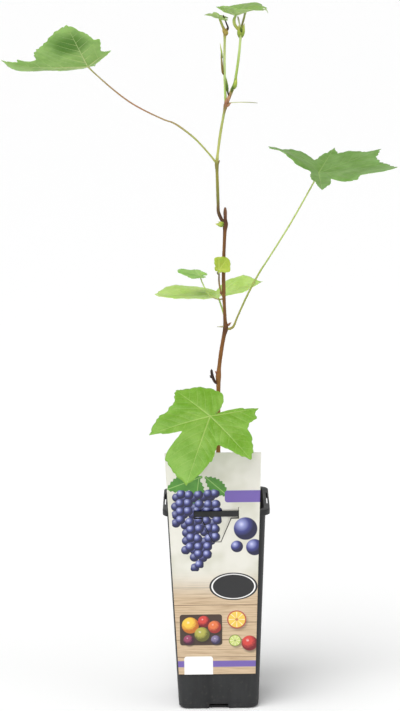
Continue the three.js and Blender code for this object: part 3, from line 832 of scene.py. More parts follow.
    def _fruit(self, graph: Graph, spot: Socket, colour: Socket, centre: Pair,
               radius: float, light: Colour, shade: Colour) -> Socket:
        """A whole round fruit, lit from above and a little mottled.

        Args:
            graph: the material's nodes.
            spot: the place on the print.
            colour: the print so far.
            centre: its middle on the print.
            radius: its radius.
            light, shade: its colours.

        Returns:
            The print with it added.
        """
        place = self._local(graph, spot, centre)
        reach = graph.math("DIVIDE", self._distance(graph, place), radius)
        high = graph.vector("ADD", place, (radius * 0.25, -radius * 0.35, 0))
        lit = graph.math("DIVIDE", self._distance(graph, high), radius)
        mottled = graph.math("MULTIPLY_ADD", graph.noise(spot, 0.5, 3.0), 0.5,
                             graph.math("ADD", lit, -0.25))
        gleam = tuple(0.55 * part + 0.45 for part in light[:3]) + (1.0,)
        paint = graph.ramp(mottled, ((0.0, gleam), (0.2, light), (0.55, light), (1.0, shade)))
        shadow = graph.vector("ADD", place, (-1.2, 1.8, 0))
        soft = graph.step(graph.math("DIVIDE", self._distance(graph, shadow), radius),
                          0.8, 1.2, 0.6, 0.0)
        grounded = graph.mix(soft, colour, srgb(34, 24, 18))
        return graph.mix(graph.step(reach, 0.95, 1.0, 1.0, 0.0), grounded, paint)

    def _plaque(self, graph: Graph, spot: Socket, colour: Socket, centre: Pair,
                half: Pair) -> Socket:
        """A blank dark oval with a thin pale line inside its edge.

        Args:
            graph: the material's nodes.
            spot: the place on the print.
            colour: the print so far.
            centre: its middle on the print.
            half: half its width and height.

        Returns:
            The print with it added.
        """
        place = self._local(graph, spot, centre)
        reach = self._distance(graph, graph.vector("DIVIDE", place, (*half, 1)))
        line = graph.math("MULTIPLY", graph.step(reach, 0.84, 0.86),
                          graph.step(reach, 0.9, 0.92, 1.0, 0.0))
        fill = graph.mix(line, self.plaque, self.white)
        return graph.mix(graph.step(reach, 0.985, 1.0, 1.0, 0.0), colour, fill)

    def _band(self, graph: Graph, spot: Socket, colour: Socket, across: Pair,
              up: Pair, tone: Colour) -> Socket:
        """A plain band with round corners.

        Args:
            graph: the material's nodes.
            spot: the place on the print.
            colour: the print so far.
            across, up: where it begins and ends.
            tone: its colour.

        Returns:
            The print with it added.
        """
        corner = 3.0
        centre = (sum(across) / 2, sum(up) / 2)
        half = ((across[1] - across[0]) / 2 - corner, (up[1] - up[0]) / 2 - corner)
        folded = graph.vector("ABSOLUTE", self._local(graph, spot, centre))
        outside = graph.vector("MAXIMUM", graph.vector("SUBTRACT", folded, (*half, 0)), (0, 0, 0))
        x, y, _ = graph.parts(outside)
        reach = self._distance(graph, graph.combine(x, y))
        return graph.mix(graph.step(reach, corner - 0.3, corner, 1.0, 0.0), colour, tone)


# ---------------------------------------------------------------- the pot
@dataclass(frozen=True)
class Pot:
    """The tall square pot: tapering walls, a lip with four label bars, a notched foot."""

    wall: float = 1.6
    floor: float = 2.2
    lip: float = 6.0
    lip_round: float = 0.8
    corner: float = 11.0
    lip_corner: float = 13.0
    shoulder_half: float = 50.5
    foot_half: float = 41.7
    foot_radius: float = 3.6
    bow: float = 0.5  # how far the middle of a wall is drawn in
    bar_half: float = 22.5
    bar_thickness: float = 1.4
    slot_width: float = 2.4
    narrow_slot: float = 1.5  # the slots that hold no label
    drain: Place = (20.0, 5.5, 6.0)  # a notch's width, height and depth
    levels: int = 9  # rings up each side of a wall
    edge_width: float = 0.3
    edge_angle: float = 50.0  # edges sharper than this are eased
    sharp_angle: float = 35.0  # and steeper ones than this shade as corners

    @property
    def height(self) -> float:
        """The pot's height in millimetres, from the frame."""
        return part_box("pot")[1].z / MM

    @property
    def half(self) -> float:
        """Half the width over the lip in millimetres, from the frame."""
        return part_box("pot")[1].x / MM

    def body_half(self, z: float) -> float:
        """Half the width of the tapering body at a height."""
        rise = (z - self.foot_radius) / (self.height - self.lip - self.foot_radius)
        return self.foot_half + (self.shoulder_half - self.foot_half) * rise

    def build(self) -> None:
        """Makes the shell, cuts its slots and notches, eases the edges and dresses it."""
        shell = self._shell()
        cutter = self._cutter()
        cut = shell.modifiers.new("cut", "BOOLEAN")
        cut.object = cutter
        cut.operation = "DIFFERENCE"
        cut.solver = "EXACT"
        bevel = shell.modifiers.new("edges", "BEVEL")
        bevel.width = self.edge_width * MM
        bevel.segments = 2
        bevel.limit_method = "ANGLE"
        bevel.angle_limit = math.radians(self.edge_angle)
        depsgraph = bpy.context.evaluated_depsgraph_get()
        mesh = bpy.data.meshes.new_from_object(shell.evaluated_get(depsgraph), depsgraph=depsgraph)
        shell.modifiers.clear()
        bpy.data.objects.remove(cutter)
        mesh.materials.append(PotPlastic().make())
        mesh.shade_smooth()
        mesh.set_sharp_from_angle(angle=math.radians(self.sharp_angle))
        shell.data = mesh
        settle(shell, Slot.POT, "pot")

    def _bowed(self, ring: np.ndarray) -> np.ndarray:
        """Draws the middle of each wall in a little, most at half height.

        Args:
            ring: a level ring of the wall.

        Returns:
            The bowed ring.
        """
        rise = np.clip(ring[:, 2] / self.height, 0, 1)
        reach = np.abs(ring[:, :2]).max(1)
        across = np.abs(ring[:, :2]).min(1) / np.maximum(reach - self.corner, 1.0)
        pull = self.bow * np.sin(math.pi * rise) * np.clip(1 - across**2, 0, 1)
        bowed = ring.copy()
        longest = np.abs(ring[:, :2]).argmax(1)
        rows = np.arange(len(ring))
        bowed[rows, longest] -= np.sign(ring[rows, longest]) * pull
        return bowed

    def _shell(self) -> bpy.types.Object:
        """The pot's walls, lip and floor as one closed skin.

        Returns:
            The shell.
        """
        top = self.height
        under = top - self.lip
        easing = self.lip_round
        foot = self.body_half(self.foot_radius)
        rings = []
        for turn in np.linspace(0, math.pi / 2, 6):
            inset = self.foot_radius * (1 - math.sin(turn)) + 0.15
            rise = self.foot_radius * (1 - math.cos(turn))
            rings.append(square_ring(foot - inset, rise, self.corner - 1))
        rings.append(square_ring(foot - 0.15, self.foot_radius + 2.2, self.corner))
        for z in (self.foot_radius + 2.5, *np.linspace(12, under - 3, self.levels), under):
            rings.append(self._bowed(square_ring(self.body_half(z), z, self.corner)))
        rings.append(square_ring(self.half - easing, under, self.lip_corner))
        for turn in np.linspace(0, math.pi / 2, 4)[1:]:
            rings.append(square_ring(self.half - easing * (1 - math.sin(turn)),
                                     under + easing * (1 - math.cos(turn)), self.lip_corner))
        for turn in np.linspace(0, math.pi / 2, 4):
            rings.append(square_ring(self.half - easing * (1 - math.cos(turn)),
                                     top - easing * (1 - math.sin(turn)), self.lip_corner))
        rings.append(square_ring(self.shoulder_half - self.wall + 0.4, top, self.corner))
        rings.append(square_ring(self.shoulder_half - self.wall, top - 0.5, self.corner))
        for z in (under, *np.linspace(under - 3, 14, self.levels)):
            rings.append(self._bowed(square_ring(self.body_half(z) - self.wall, z, self.corner - 1)))
        rings.append(square_ring(foot - self.wall, self.foot_radius + self.floor, self.corner - 1))
        rings.append(square_ring(foot - self.foot_radius - 1, self.floor, self.corner - 3))
        return solid("pot_shell", np.concatenate(rings), loft(rings))

    def _cutter(self) -> bpy.types.Object:
        """Boxes for the slots behind the label bars and for the drainage notches.

        Returns:
            The boxes as one object.
        """
        width, rise, depth = self.drain
        outer = -self.half + self.bar_thickness
        low, high = self.height - self.lip - 1, self.height + 1
        slot = (self.bar_half + 1, outer, outer + self.slot_width, low, high)
        narrow = (self.bar_half + 1, outer, outer + self.narrow_slot, low, high)
        notch = (width / 2, -self.half, -self.body_half(rise) + depth, -1.0, rise)
        points: list[np.ndarray] = []
        faces: Faces = []
        cuts = [(quarter, notch) for quarter in range(4)]
        cuts += [(quarter, narrow if quarter else slot) for quarter in range(4)]
        for quarter, (half, y0, y1, z0, z1) in cuts:
            ring = np.array([[-half, y0], [half, y0], [half, y1], [-half, y1]])
            c, s = math.cos(quarter * math.pi / 2), math.sin(quarter * math.pi / 2)
            turned = ring @ np.array([[c, s], [-s, c]])
            levels = [np.column_stack([turned, np.full(4, z)]) for z in (z0, z1)]
            faces += loft(levels, sum(len(level) for level in points))
            points += levels
        return solid("pot_cutter", np.concatenate(points), faces)


# ---------------------------------------------------------------- potting soil
class Scatter(NodeTool):
    """Small uneven lumps strewn over a surface by a seeded rule."""

    def __init__(self) -> None:
        """Builds the tree: points on the faces, a turned and stretched lump on each."""
        super().__init__("scatter", {
            "Density": "NodeSocketFloat",
            "Seed": "NodeSocketInt",
            "Smallest": "NodeSocketVector",
            "Largest": "NodeSocketVector",
            "Unevenness": "NodeSocketFloat",
            "Detail": "NodeSocketInt",
            "Material": "NodeSocketMaterial",
        })
        graph = self.graph
        given = self.source.outputs
        points = graph.add("GeometryNodeDistributePointsOnFaces",
                           {"Mesh": given["Geometry"], "Density": given["Density"], "Seed": given["Seed"]})
        lump = graph.add("GeometryNodeMeshIcoSphere", {"Radius": 1.0, "Subdivisions": given["Detail"]})
        turns = graph.add("FunctionNodeRandomValue", {0: (0, 0, 0), 1: (0.7, 0.7, 6.28), 8: 3},
                          data_type="FLOAT_VECTOR")
        sizes = graph.add("FunctionNodeRandomValue", {0: given["Smallest"], 1: given["Largest"], 8: 5},
                          data_type="FLOAT_VECTOR")
        rotation = graph.add("FunctionNodeEulerToRotation", {0: turns.outputs[0]})
        placed = graph.add("GeometryNodeInstanceOnPoints", {
            "Points": points.outputs[0], "Instance": lump.outputs[0],
            "Rotation": rotation.outputs[0], "Scale": sizes.outputs[0]})
        realized = graph.add("GeometryNodeRealizeInstances", {0: placed.outputs[0]})
        place = graph.add("GeometryNodeInputPosition").outputs[0]
        lumpy = graph.add("ShaderNodeTexNoise", {"Vector": place, "Scale": 700.0}).outputs[1]
        centred = graph.vector("SUBTRACT", lumpy, (0.5, 0.5, 0.5))
        amount = graph.combine(given["Unevenness"], given["Unevenness"], given["Unevenness"])
        offset = graph.vector("MULTIPLY", centred, amount)
        moved = graph.add("GeometryNodeSetPosition", {"Geometry": realized.outputs[0], "Offset": offset})
        self.finish(moved.outputs[0])


@dataclass(frozen=True)
class Litter:
    """One kind of thing that lies on the bed: how thickly, how large and of what."""

    name: str
    density: float  # pieces on a square metre
    seed: int
    smallest: Place
    largest: Place
    detail: int
    finish: Earth

    def strew(self, scatter: Scatter, crown: bpy.types.Object) -> None:
        """Strews this kind over the bed's upper surface and settles it.

        Args:
            scatter: the tool that strews.
            crown: the upper surface.
        """
        piece = scatter.run(link(self.name, crown.data.copy()), {
            "Density": self.density, "Seed": self.seed, "Detail": self.detail,
            "Unevenness": self.smallest[2] * MM,
            "Smallest": tuple(size * MM for size in self.smallest),
            "Largest": tuple(size * MM for size in self.largest),
            "Material": self.finish.make()})
        settle(piece, Slot.SOIL)


LITTER = (
    Litter("soil_crumbs", 240000.0, 11, (0.5, 0.5, 0.4), (1.9, 1.8, 1.3), 1,
           Earth("crumbs", srgb(34, 24, 18), srgb(78, 56, 40), 520.0)),
    Litter("soil_clods", 20000.0, 12, (1.6, 1.5, 1.0), (3.4, 3.0, 1.9), 2,
           Earth("clods", srgb(40, 29, 21), srgb(92, 66, 47), 300.0)),
    Litter("bark_chips", 16000.0, 13, (1.8, 0.7, 0.35), (4.6, 1.7, 0.8), 1,
           Earth("chips", srgb(74, 48, 30), srgb(142, 98, 62), 240.0, 0.8)),
    Litter("soil_fibres", 22000.0, 14, (1.6, 0.14, 0.14), (4.8, 0.3, 0.28), 1,
           Earth("fibres", srgb(110, 82, 54), srgb(166, 132, 92), 200.0, 0.8)),
)


@dataclass(frozen=True)
class Soil:
    """The potting mix: an uneven bed with crumbs, bark chips and fibres lying on it."""

    edge_drop: float = 1.5
    mound: float = 1.6
    rings: int = 36
    corner: float = 9.0

    def build(self) -> None:
        """Makes the bed and strews what lies on it."""
        low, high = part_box("potting_soil")
        half = high.x / MM
        top = high.z / MM
        bed, crown = self._bed(low.z / MM, top, half)
        bed.data.materials.append(Earth("potting_mix").make())
        settle(bed, Slot.SOIL, "potting_soil")
        scatter = Scatter()
        for kind in LITTER:
            kind.strew(scatter, crown)
        bpy.data.objects.remove(crown)

    def _relief(self, x: np.ndarray, y: np.ndarray) -> np.ndarray:
        """Low mounds on the bed, with one round the stem's foot.

        Args:
            x, y: places on the bed.

        Returns:
            The height at each place.
        """
        waves = np.sin(x * 0.11 + 0.6) * np.cos(y * 0.13 - 0.4) + 0.5 * np.sin(x * 0.29 + y * 0.21)
        collar = 1.6 * np.exp(-((x - 2) ** 2 + y**2) / 60)
        return self.mound * 0.5 * waves + collar

    def _bed(self, base: float, top: float, half: float) -> tuple[bpy.types.Object, bpy.types.Object]:
        """The closed bed and a copy of its upper surface to strew on.

        Args:
            base: the height of its underside.
            top: the height of its upper surface.
            half: half its width at the top.

        Returns:
            The bed and the upper surface.
        """
        levels = []
        for share in np.linspace(1, 1 / self.rings, self.rings):
            ring = square_ring(half * share, top, max(self.corner * share, 0.5))
            drop = self.edge_drop * share**6 + self.mound
            ring[:, 2] += self._relief(ring[:, 0], ring[:, 1]) * (1 - share**8) - drop
            levels.append(ring)
        pot = Pot()
        foot = pot.foot_radius + pot.floor
        rings = [square_ring(pot.foot_half - 8, base, 5.0),
                 square_ring(pot.body_half(foot) - pot.wall - 0.8, foot + 0.6, self.corner),
                 square_ring(half - 0.05, top - 14, self.corner), *levels]
        bed = solid("soil_bed", np.concatenate(rings), loft(rings))
        inner = [ring for ring in levels if ring[:, 0].max() < half - 2]
        faces = [face for face in loft(inner) if len(face) == 4]
        crown = solid("soil_crown", np.concatenate(inner), faces)
        return bed, crown


# ---------------------------------------------------------------- card label
@dataclass(frozen=True)
class CardLabel:
    """The printed card that leans on the lip, with its tongue behind the front bar."""

    cell: float = 7.0  # spacing of the cuts that let the card bow
    bow: float = 0.7
    middle: float = -1.3  # X of the middle line that the print is laid out from
    above: float = 60.0  # height above the lip at which the upper bow is full
    below: float = 170.0  # depth below the lip at which the card is straight again
    half: float = 50.0  # distance from the middle at which the twist is full
    twist: float = 0.4  # share by which the upper bow grows to the right and shrinks to the left
    below_share: float = 0.6  # the bow below the lip, as a share of the one above

    def build(self) -> None:
        """Cuts the frame's card into a grid, bows it, maps the print and dresses it."""
        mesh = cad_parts["card_label"].data.copy()
        mesh.materials.clear()
        grid = bmesh.new()
        grid.from_mesh(mesh)
        bmesh.ops.remove_doubles(grid, verts=grid.verts, dist=0.01 * MM)
        bmesh.ops.dissolve_limit(grid, angle_limit=0.01, verts=grid.verts, edges=grid.edges)
        low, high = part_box("card_label")
        for axis in (0, 2):
            for place in np.arange(low[axis] + self.cell * MM, high[axis], self.cell * MM):
                normal = [0.0, 0.0, 0.0]
                normal[axis] = 1.0
                point = [0.0, 0.0, 0.0]
                point[axis] = place
                everything = grid.verts[:] + grid.edges[:] + grid.faces[:]
                bmesh.ops.bisect_plane(grid, geom=everything, plane_co=point, plane_no=normal)
        prints = grid.loops.layers.uv.new("print")
        for face in grid.faces:
            face.material_index = 0 if face.normal.y < -0.5 else 1
            for corner in face.loops:
                x, _, z = corner.vert.co / MM
                corner[prints].uv = ((x - self.middle) / UV_UNIT, (z - low.z / MM) / UV_UNIT)
        lip = Pot().height * MM
        for vertex in grid.verts:
            vertex.co.y += self._bow_at(vertex.co, lip)
        grid.to_mesh(mesh)
        grid.free()
        mesh.materials.append(CardPrint().make())
        mesh.materials.append(PlainCard().make())
        mesh.shade_smooth()
        mesh.set_sharp_from_angle(angle=math.radians(40))
        settle(link("printed_card", mesh), Slot.CARD, "card_label")

    def _bow_at(self, place: Vector, lip: float) -> float:
        """How far the card is bent forwards at a place; it is straight at the lip.

        Args:
            place: a place on the card.
            lip: the height of the lip.

        Returns:
            The shift in Y, in metres.
        """
        above = (place.z - lip) / (self.above * MM)
        if above > 0:
            return -self.bow * MM * above**2 * (1 + self.twist * place.x / (self.half * MM))
        below = -(place.z - lip) / (self.below * MM)
        return -self.bow * MM * math.sin(math.pi * min(below, 1.0)) * self.below_share


# ---------------------------------------------------------------- stems, shoots and stalks
def curve_through(stations: Sequence[Station], step: float) -> tuple[np.ndarray, np.ndarray]:
    """A smooth centripetal curve through stations.

    Args:
        stations: X, Y, Z and radius of each station.
        step: the rough distance between two points.

    Returns:
        The points with their radii, and the distance of each from the start.
    """
    known = np.asarray(stations, float)
    known = np.vstack([2 * known[0] - known[1], known, 2 * known[-1] - known[-2]])
    rows = []
    for a, b, c, d in zip(known, known[1:], known[2:], known[3:]):
        first, middle, last = (max(float(np.linalg.norm((q - p)[:3])) ** 0.5, 1e-4)
                               for p, q in ((a, b), (b, c), (c, d)))
        start = (b - a) / first - (c - a) / (first + middle) + (c - b) / middle
        end = (c - b) / middle - (d - b) / (middle + last) + (d - c) / last
        start, end = start * middle, end * middle
        count = max(2, math.ceil(float(np.linalg.norm((c - b)[:3])) / step))
        share = np.linspace(0, 1, count, endpoint=False)[:, None]
        cubic = (2 * b - 2 * c + start + end) * share**3
        square = (3 * c - 3 * b - 2 * start - end) * share**2
        rows.append(cubic + square + start * share + b)
    rows.append(known[-2][None])
    points = np.concatenate(rows)
    points[:, 3] = np.maximum(points[:, 3], 0.05)
    steps = np.linalg.norm(np.diff(points[:, :3], axis=0), axis=1)
    return points, np.concatenate([[0.0], np.cumsum(steps)])


class LimbSkin(NodeTool):
    """A tube over a line with thickness, with long fibres and ribs raised on it."""

    def __init__(self) -> None:
        """Builds the tree: the line becomes a curve, then a tube, then gets its relief."""
        super().__init__("limb_skin", {
            "Sides": "NodeSocketInt",
            "Fibre depth": "NodeSocketFloat",
            "Ribs": "NodeSocketFloat",
            "Rib depth": "NodeSocketFloat",
            "Seed": "NodeSocketFloat",
            "Material": "NodeSocketMaterial",
        })
        graph = self.graph
        given = self.source.outputs
        line = graph.add("GeometryNodeMeshToCurve", {0: given["Geometry"]})
        thick = self._attribute("thick")
        circle = graph.add("GeometryNodeCurvePrimitiveCircle", {"Resolution": given["Sides"], "Radius": 1.0})
        turn = graph.add("GeometryNodeSplineParameter").outputs[0]
        profile = graph.add("GeometryNodeStoreNamedAttribute",
                            {"Geometry": circle.outputs[0], "Name": "around", "Value": turn})
        tube = graph.add("GeometryNodeCurveToMesh", {
            "Curve": line.outputs[0], "Profile Curve": profile.outputs[0],
            "Scale": thick, "Fill Caps": True})
        angle = graph.math("MULTIPLY", self._attribute("around"), 2 * math.pi)
        seed = given["Seed"]
        reach = self._attribute("reach")
        ring = graph.combine(
            graph.math("ADD", graph.math("MULTIPLY", graph.math("COSINE", angle), 1.6), seed),
            graph.math("MULTIPLY", graph.math("SINE", angle), 1.6),
            graph.math("MULTIPLY", reach, 120.0))
        fibres = graph.math("SUBTRACT", graph.noise(ring, 1.7, 3.0, 0.6), 0.5)
        wave = graph.math("SINE", graph.math("MULTIPLY", angle, given["Ribs"]))
        ribs = graph.math("MULTIPLY", wave, given["Rib depth"])
        lift = graph.math("MULTIPLY_ADD", fibres, given["Fibre depth"], ribs)
        normal = graph.add("GeometryNodeInputNormal").outputs[0]
        offset = graph.vector("MULTIPLY", normal, graph.combine(lift, lift, lift))
        moved = graph.add("GeometryNodeSetPosition", {"Geometry": tube.outputs[0], "Offset": offset})
        self.finish(moved.outputs[0])

    def _attribute(self, name: str) -> Socket:
        """The named number on each point."""
        return self.graph.add("GeometryNodeInputNamedAttribute", {"Name": name}).outputs[0]

    def cover(self, name: str, lines: Sequence[Sequence[Station]], step: float,
              values: dict[str, Any]) -> bpy.types.Object:
        """Covers one or more lines with a skin.

        Args:
            name: the piece's name.
            lines: the stations of each line.
            step: the distance between two points on a line.
            values: values for the tree's inputs.

        Returns:
            The piece.
        """
        points, edges, along, reach = [], [], [], []
        for stations in lines:
            rows, run = curve_through(stations, step)
            start = sum(len(part) for part in points)
            edges += [(start + i, start + i + 1) for i in range(len(rows) - 1)]
            points.append(rows)
            along.append(run / run[-1])
            reach.append(run * MM)
        rows = np.concatenate(points)
        mesh = bpy.data.meshes.new(name)
        mesh.from_pydata((rows[:, :3] * MM).tolist(), edges, [])
        numbers = {"thick": rows[:, 3] * MM, "along": np.concatenate(along), "reach": np.concatenate(reach)}
        for key, data in numbers.items():
            mesh.attributes.new(key, "FLOAT", "POINT").data.foreach_set("value", data.astype(np.float32))
        return self.run(link(name, mesh), values)


@dataclass(frozen=True)
class Limb:
    """One stem, shoot or stalk: stations of X, Y, Z and radius, and its skin."""

    node: str
    slot: Slot
    skin: StemSkin
    stations: tuple[Station, ...]
    sides: int = 14
    step: float = 1.6
    fibre: float = 0.12
    ribs: float = 0.0
    rib_depth: float = 0.0

    def build(self, tool: LimbSkin, seed: int) -> bpy.types.Object:
        """Covers the limb with its skin and settles it in place of its node.

        Args:
            tool: the tool that makes the skin.
            seed: the limb's number, which sets its relief.

        Returns:
            The piece.
        """
        piece = tool.cover(f"skin_{self.node}", [self.stations], self.step, {
            "Sides": self.sides, "Fibre depth": self.fibre * MM, "Ribs": self.ribs,
            "Rib depth": self.rib_depth * MM, "Seed": float(seed * 7), "Material": self.skin.make()})
        settle(piece, self.slot, self.node)
        return piece


def even(*colours: Colour) -> tuple[tuple[float, Colour], ...]:
    """Ramp stops that share a limb's length evenly."""
    return tuple((i / max(len(colours) - 1, 1), colour) for i, colour in enumerate(colours))


GOLD_BROWN = srgb(142, 96, 30)
RED_BROWN = srgb(112, 70, 22)
DEEP_BROWN = srgb(80, 46, 16)
MAROON = srgb(72, 36, 14)
OLIVE = srgb(142, 138, 56)
OLIVE_DARK = srgb(112, 112, 44)
YELLOW_GREEN = srgb(172, 184, 96)
FRESH_GREEN = srgb(160, 188, 92)
PALE_GREEN = srgb(184, 204, 132)
STALK_RED = srgb(158, 112, 76)

STEM_STOPS = (
    (0.0, srgb(112, 80, 40)), (0.1, GOLD_BROWN), (0.42, srgb(136, 90, 30)), (0.56, srgb(122, 78, 26)),
    (0.62, DEEP_BROWN), (0.65, RED_BROWN), (0.76, srgb(124, 84, 32)), (0.92, RED_BROWN), (0.96, MAROON),
    (1.0, srgb(124, 82, 50)),
)

# Where the limbs meet: the middle of each swelling from which a shoot, stalk or twig leaves.
NODE = {
    "soil": (2, 0, 195),
    "front": (3, 1, 291),
    "stub": (4, 0, 345),
    "right": (12, 0, 395),
    "twig": (11, -1, 425),
    "shoot": (13, 0, 503),
    "left": (5, 0, 565),
    "fork": (15, 0, 625),
    "left_tip": (15, 0, 700),
    "right_tip": (31, 0, 700),
}

# Where each stalk meets its blade.
JUNCTION = {
    "upper_left": (-125, 18, 664),
    "right": (108, -16, 556),
    "behind": (4, 35, 424),
    "front": (-5, -55, 314),
    "folded": (6, -12, 458),
    "small_back": (-14, 28, 446),
    "top_right": (26, 0, 714),
    "top_left": (9, 0, 713),
}

SWELLING_REACH = 8.0  # a limb is slim again this far from a node
SWELLING_SHARE = 0.25  # or after this share of a short span


@dataclass(frozen=True)
class Span:
    """A stretch of a limb between two points: its slim radius and how far it bows."""

    slim: float
    bow: Place = (0.0, 0.0, 0.0)


def at(place: Sequence[float], radius: float, rise: float = 0.0) -> Station:
    """A point of a limb, so many millimetres above a place."""
    return (place[0], place[1], place[2] + rise, radius)


def through(points: Sequence[Station], spans: Sequence[Span]) -> tuple[Station, ...]:
    """The stations of a limb that grows through some points.

    Args:
        points: the points that it passes, each with its radius.
        spans: the stretch from each point to the next.

    Returns:
        The stations, three more on each stretch.
    """
    stations: list[Station] = []
    for start, end, span in zip(points, points[1:], spans):
        first, last = np.array(start[:3], float), np.array(end[:3], float)
        share = min(SWELLING_REACH / float(np.linalg.norm(last - first)), SWELLING_SHARE)
        stations.append(start)
        for t in (share, 0.5, 1 - share):
            place = first + (last - first) * t + 4 * t * (1 - t) * np.array(span.bow)
            stations.append((*place.tolist(), span.slim))
    return (*stations, points[-1])


STUB_TIP = (-3, -2, 350)
TWIG_TIP = (6, -6, 453)
GREEN_STREAK = srgb(124, 132, 62)


def stalk(leaf: str, colours: Sequence[Colour], points: Sequence[Station], end: float,
          spans: Sequence[Span], streak: Colour = GREEN_STREAK, share: float = 0.3,
          **shape: Any) -> Limb:
    """The stalk of a leaf, which ends where its blade begins.

    Args:
        leaf: the leaf's name.
        colours: the skin's colours from its foot to its end.
        points: the points that the stalk passes before its end.
        end: its radius at the end.
        spans: the stretch from each point to the next.
        streak, share: the colour and the strength of its streaks.
        shape: the limb's sides, step, fibre and ribs.

    Returns:
        The stalk.
    """
    node = f"stalk_{leaf}"
    skin = StemSkin(f"{node}_skin", even(*colours), streak, share, 0.5)
    return Limb(node, Slot.STALK, skin, through((*points, at(JUNCTION[leaf], end)), spans), **shape)


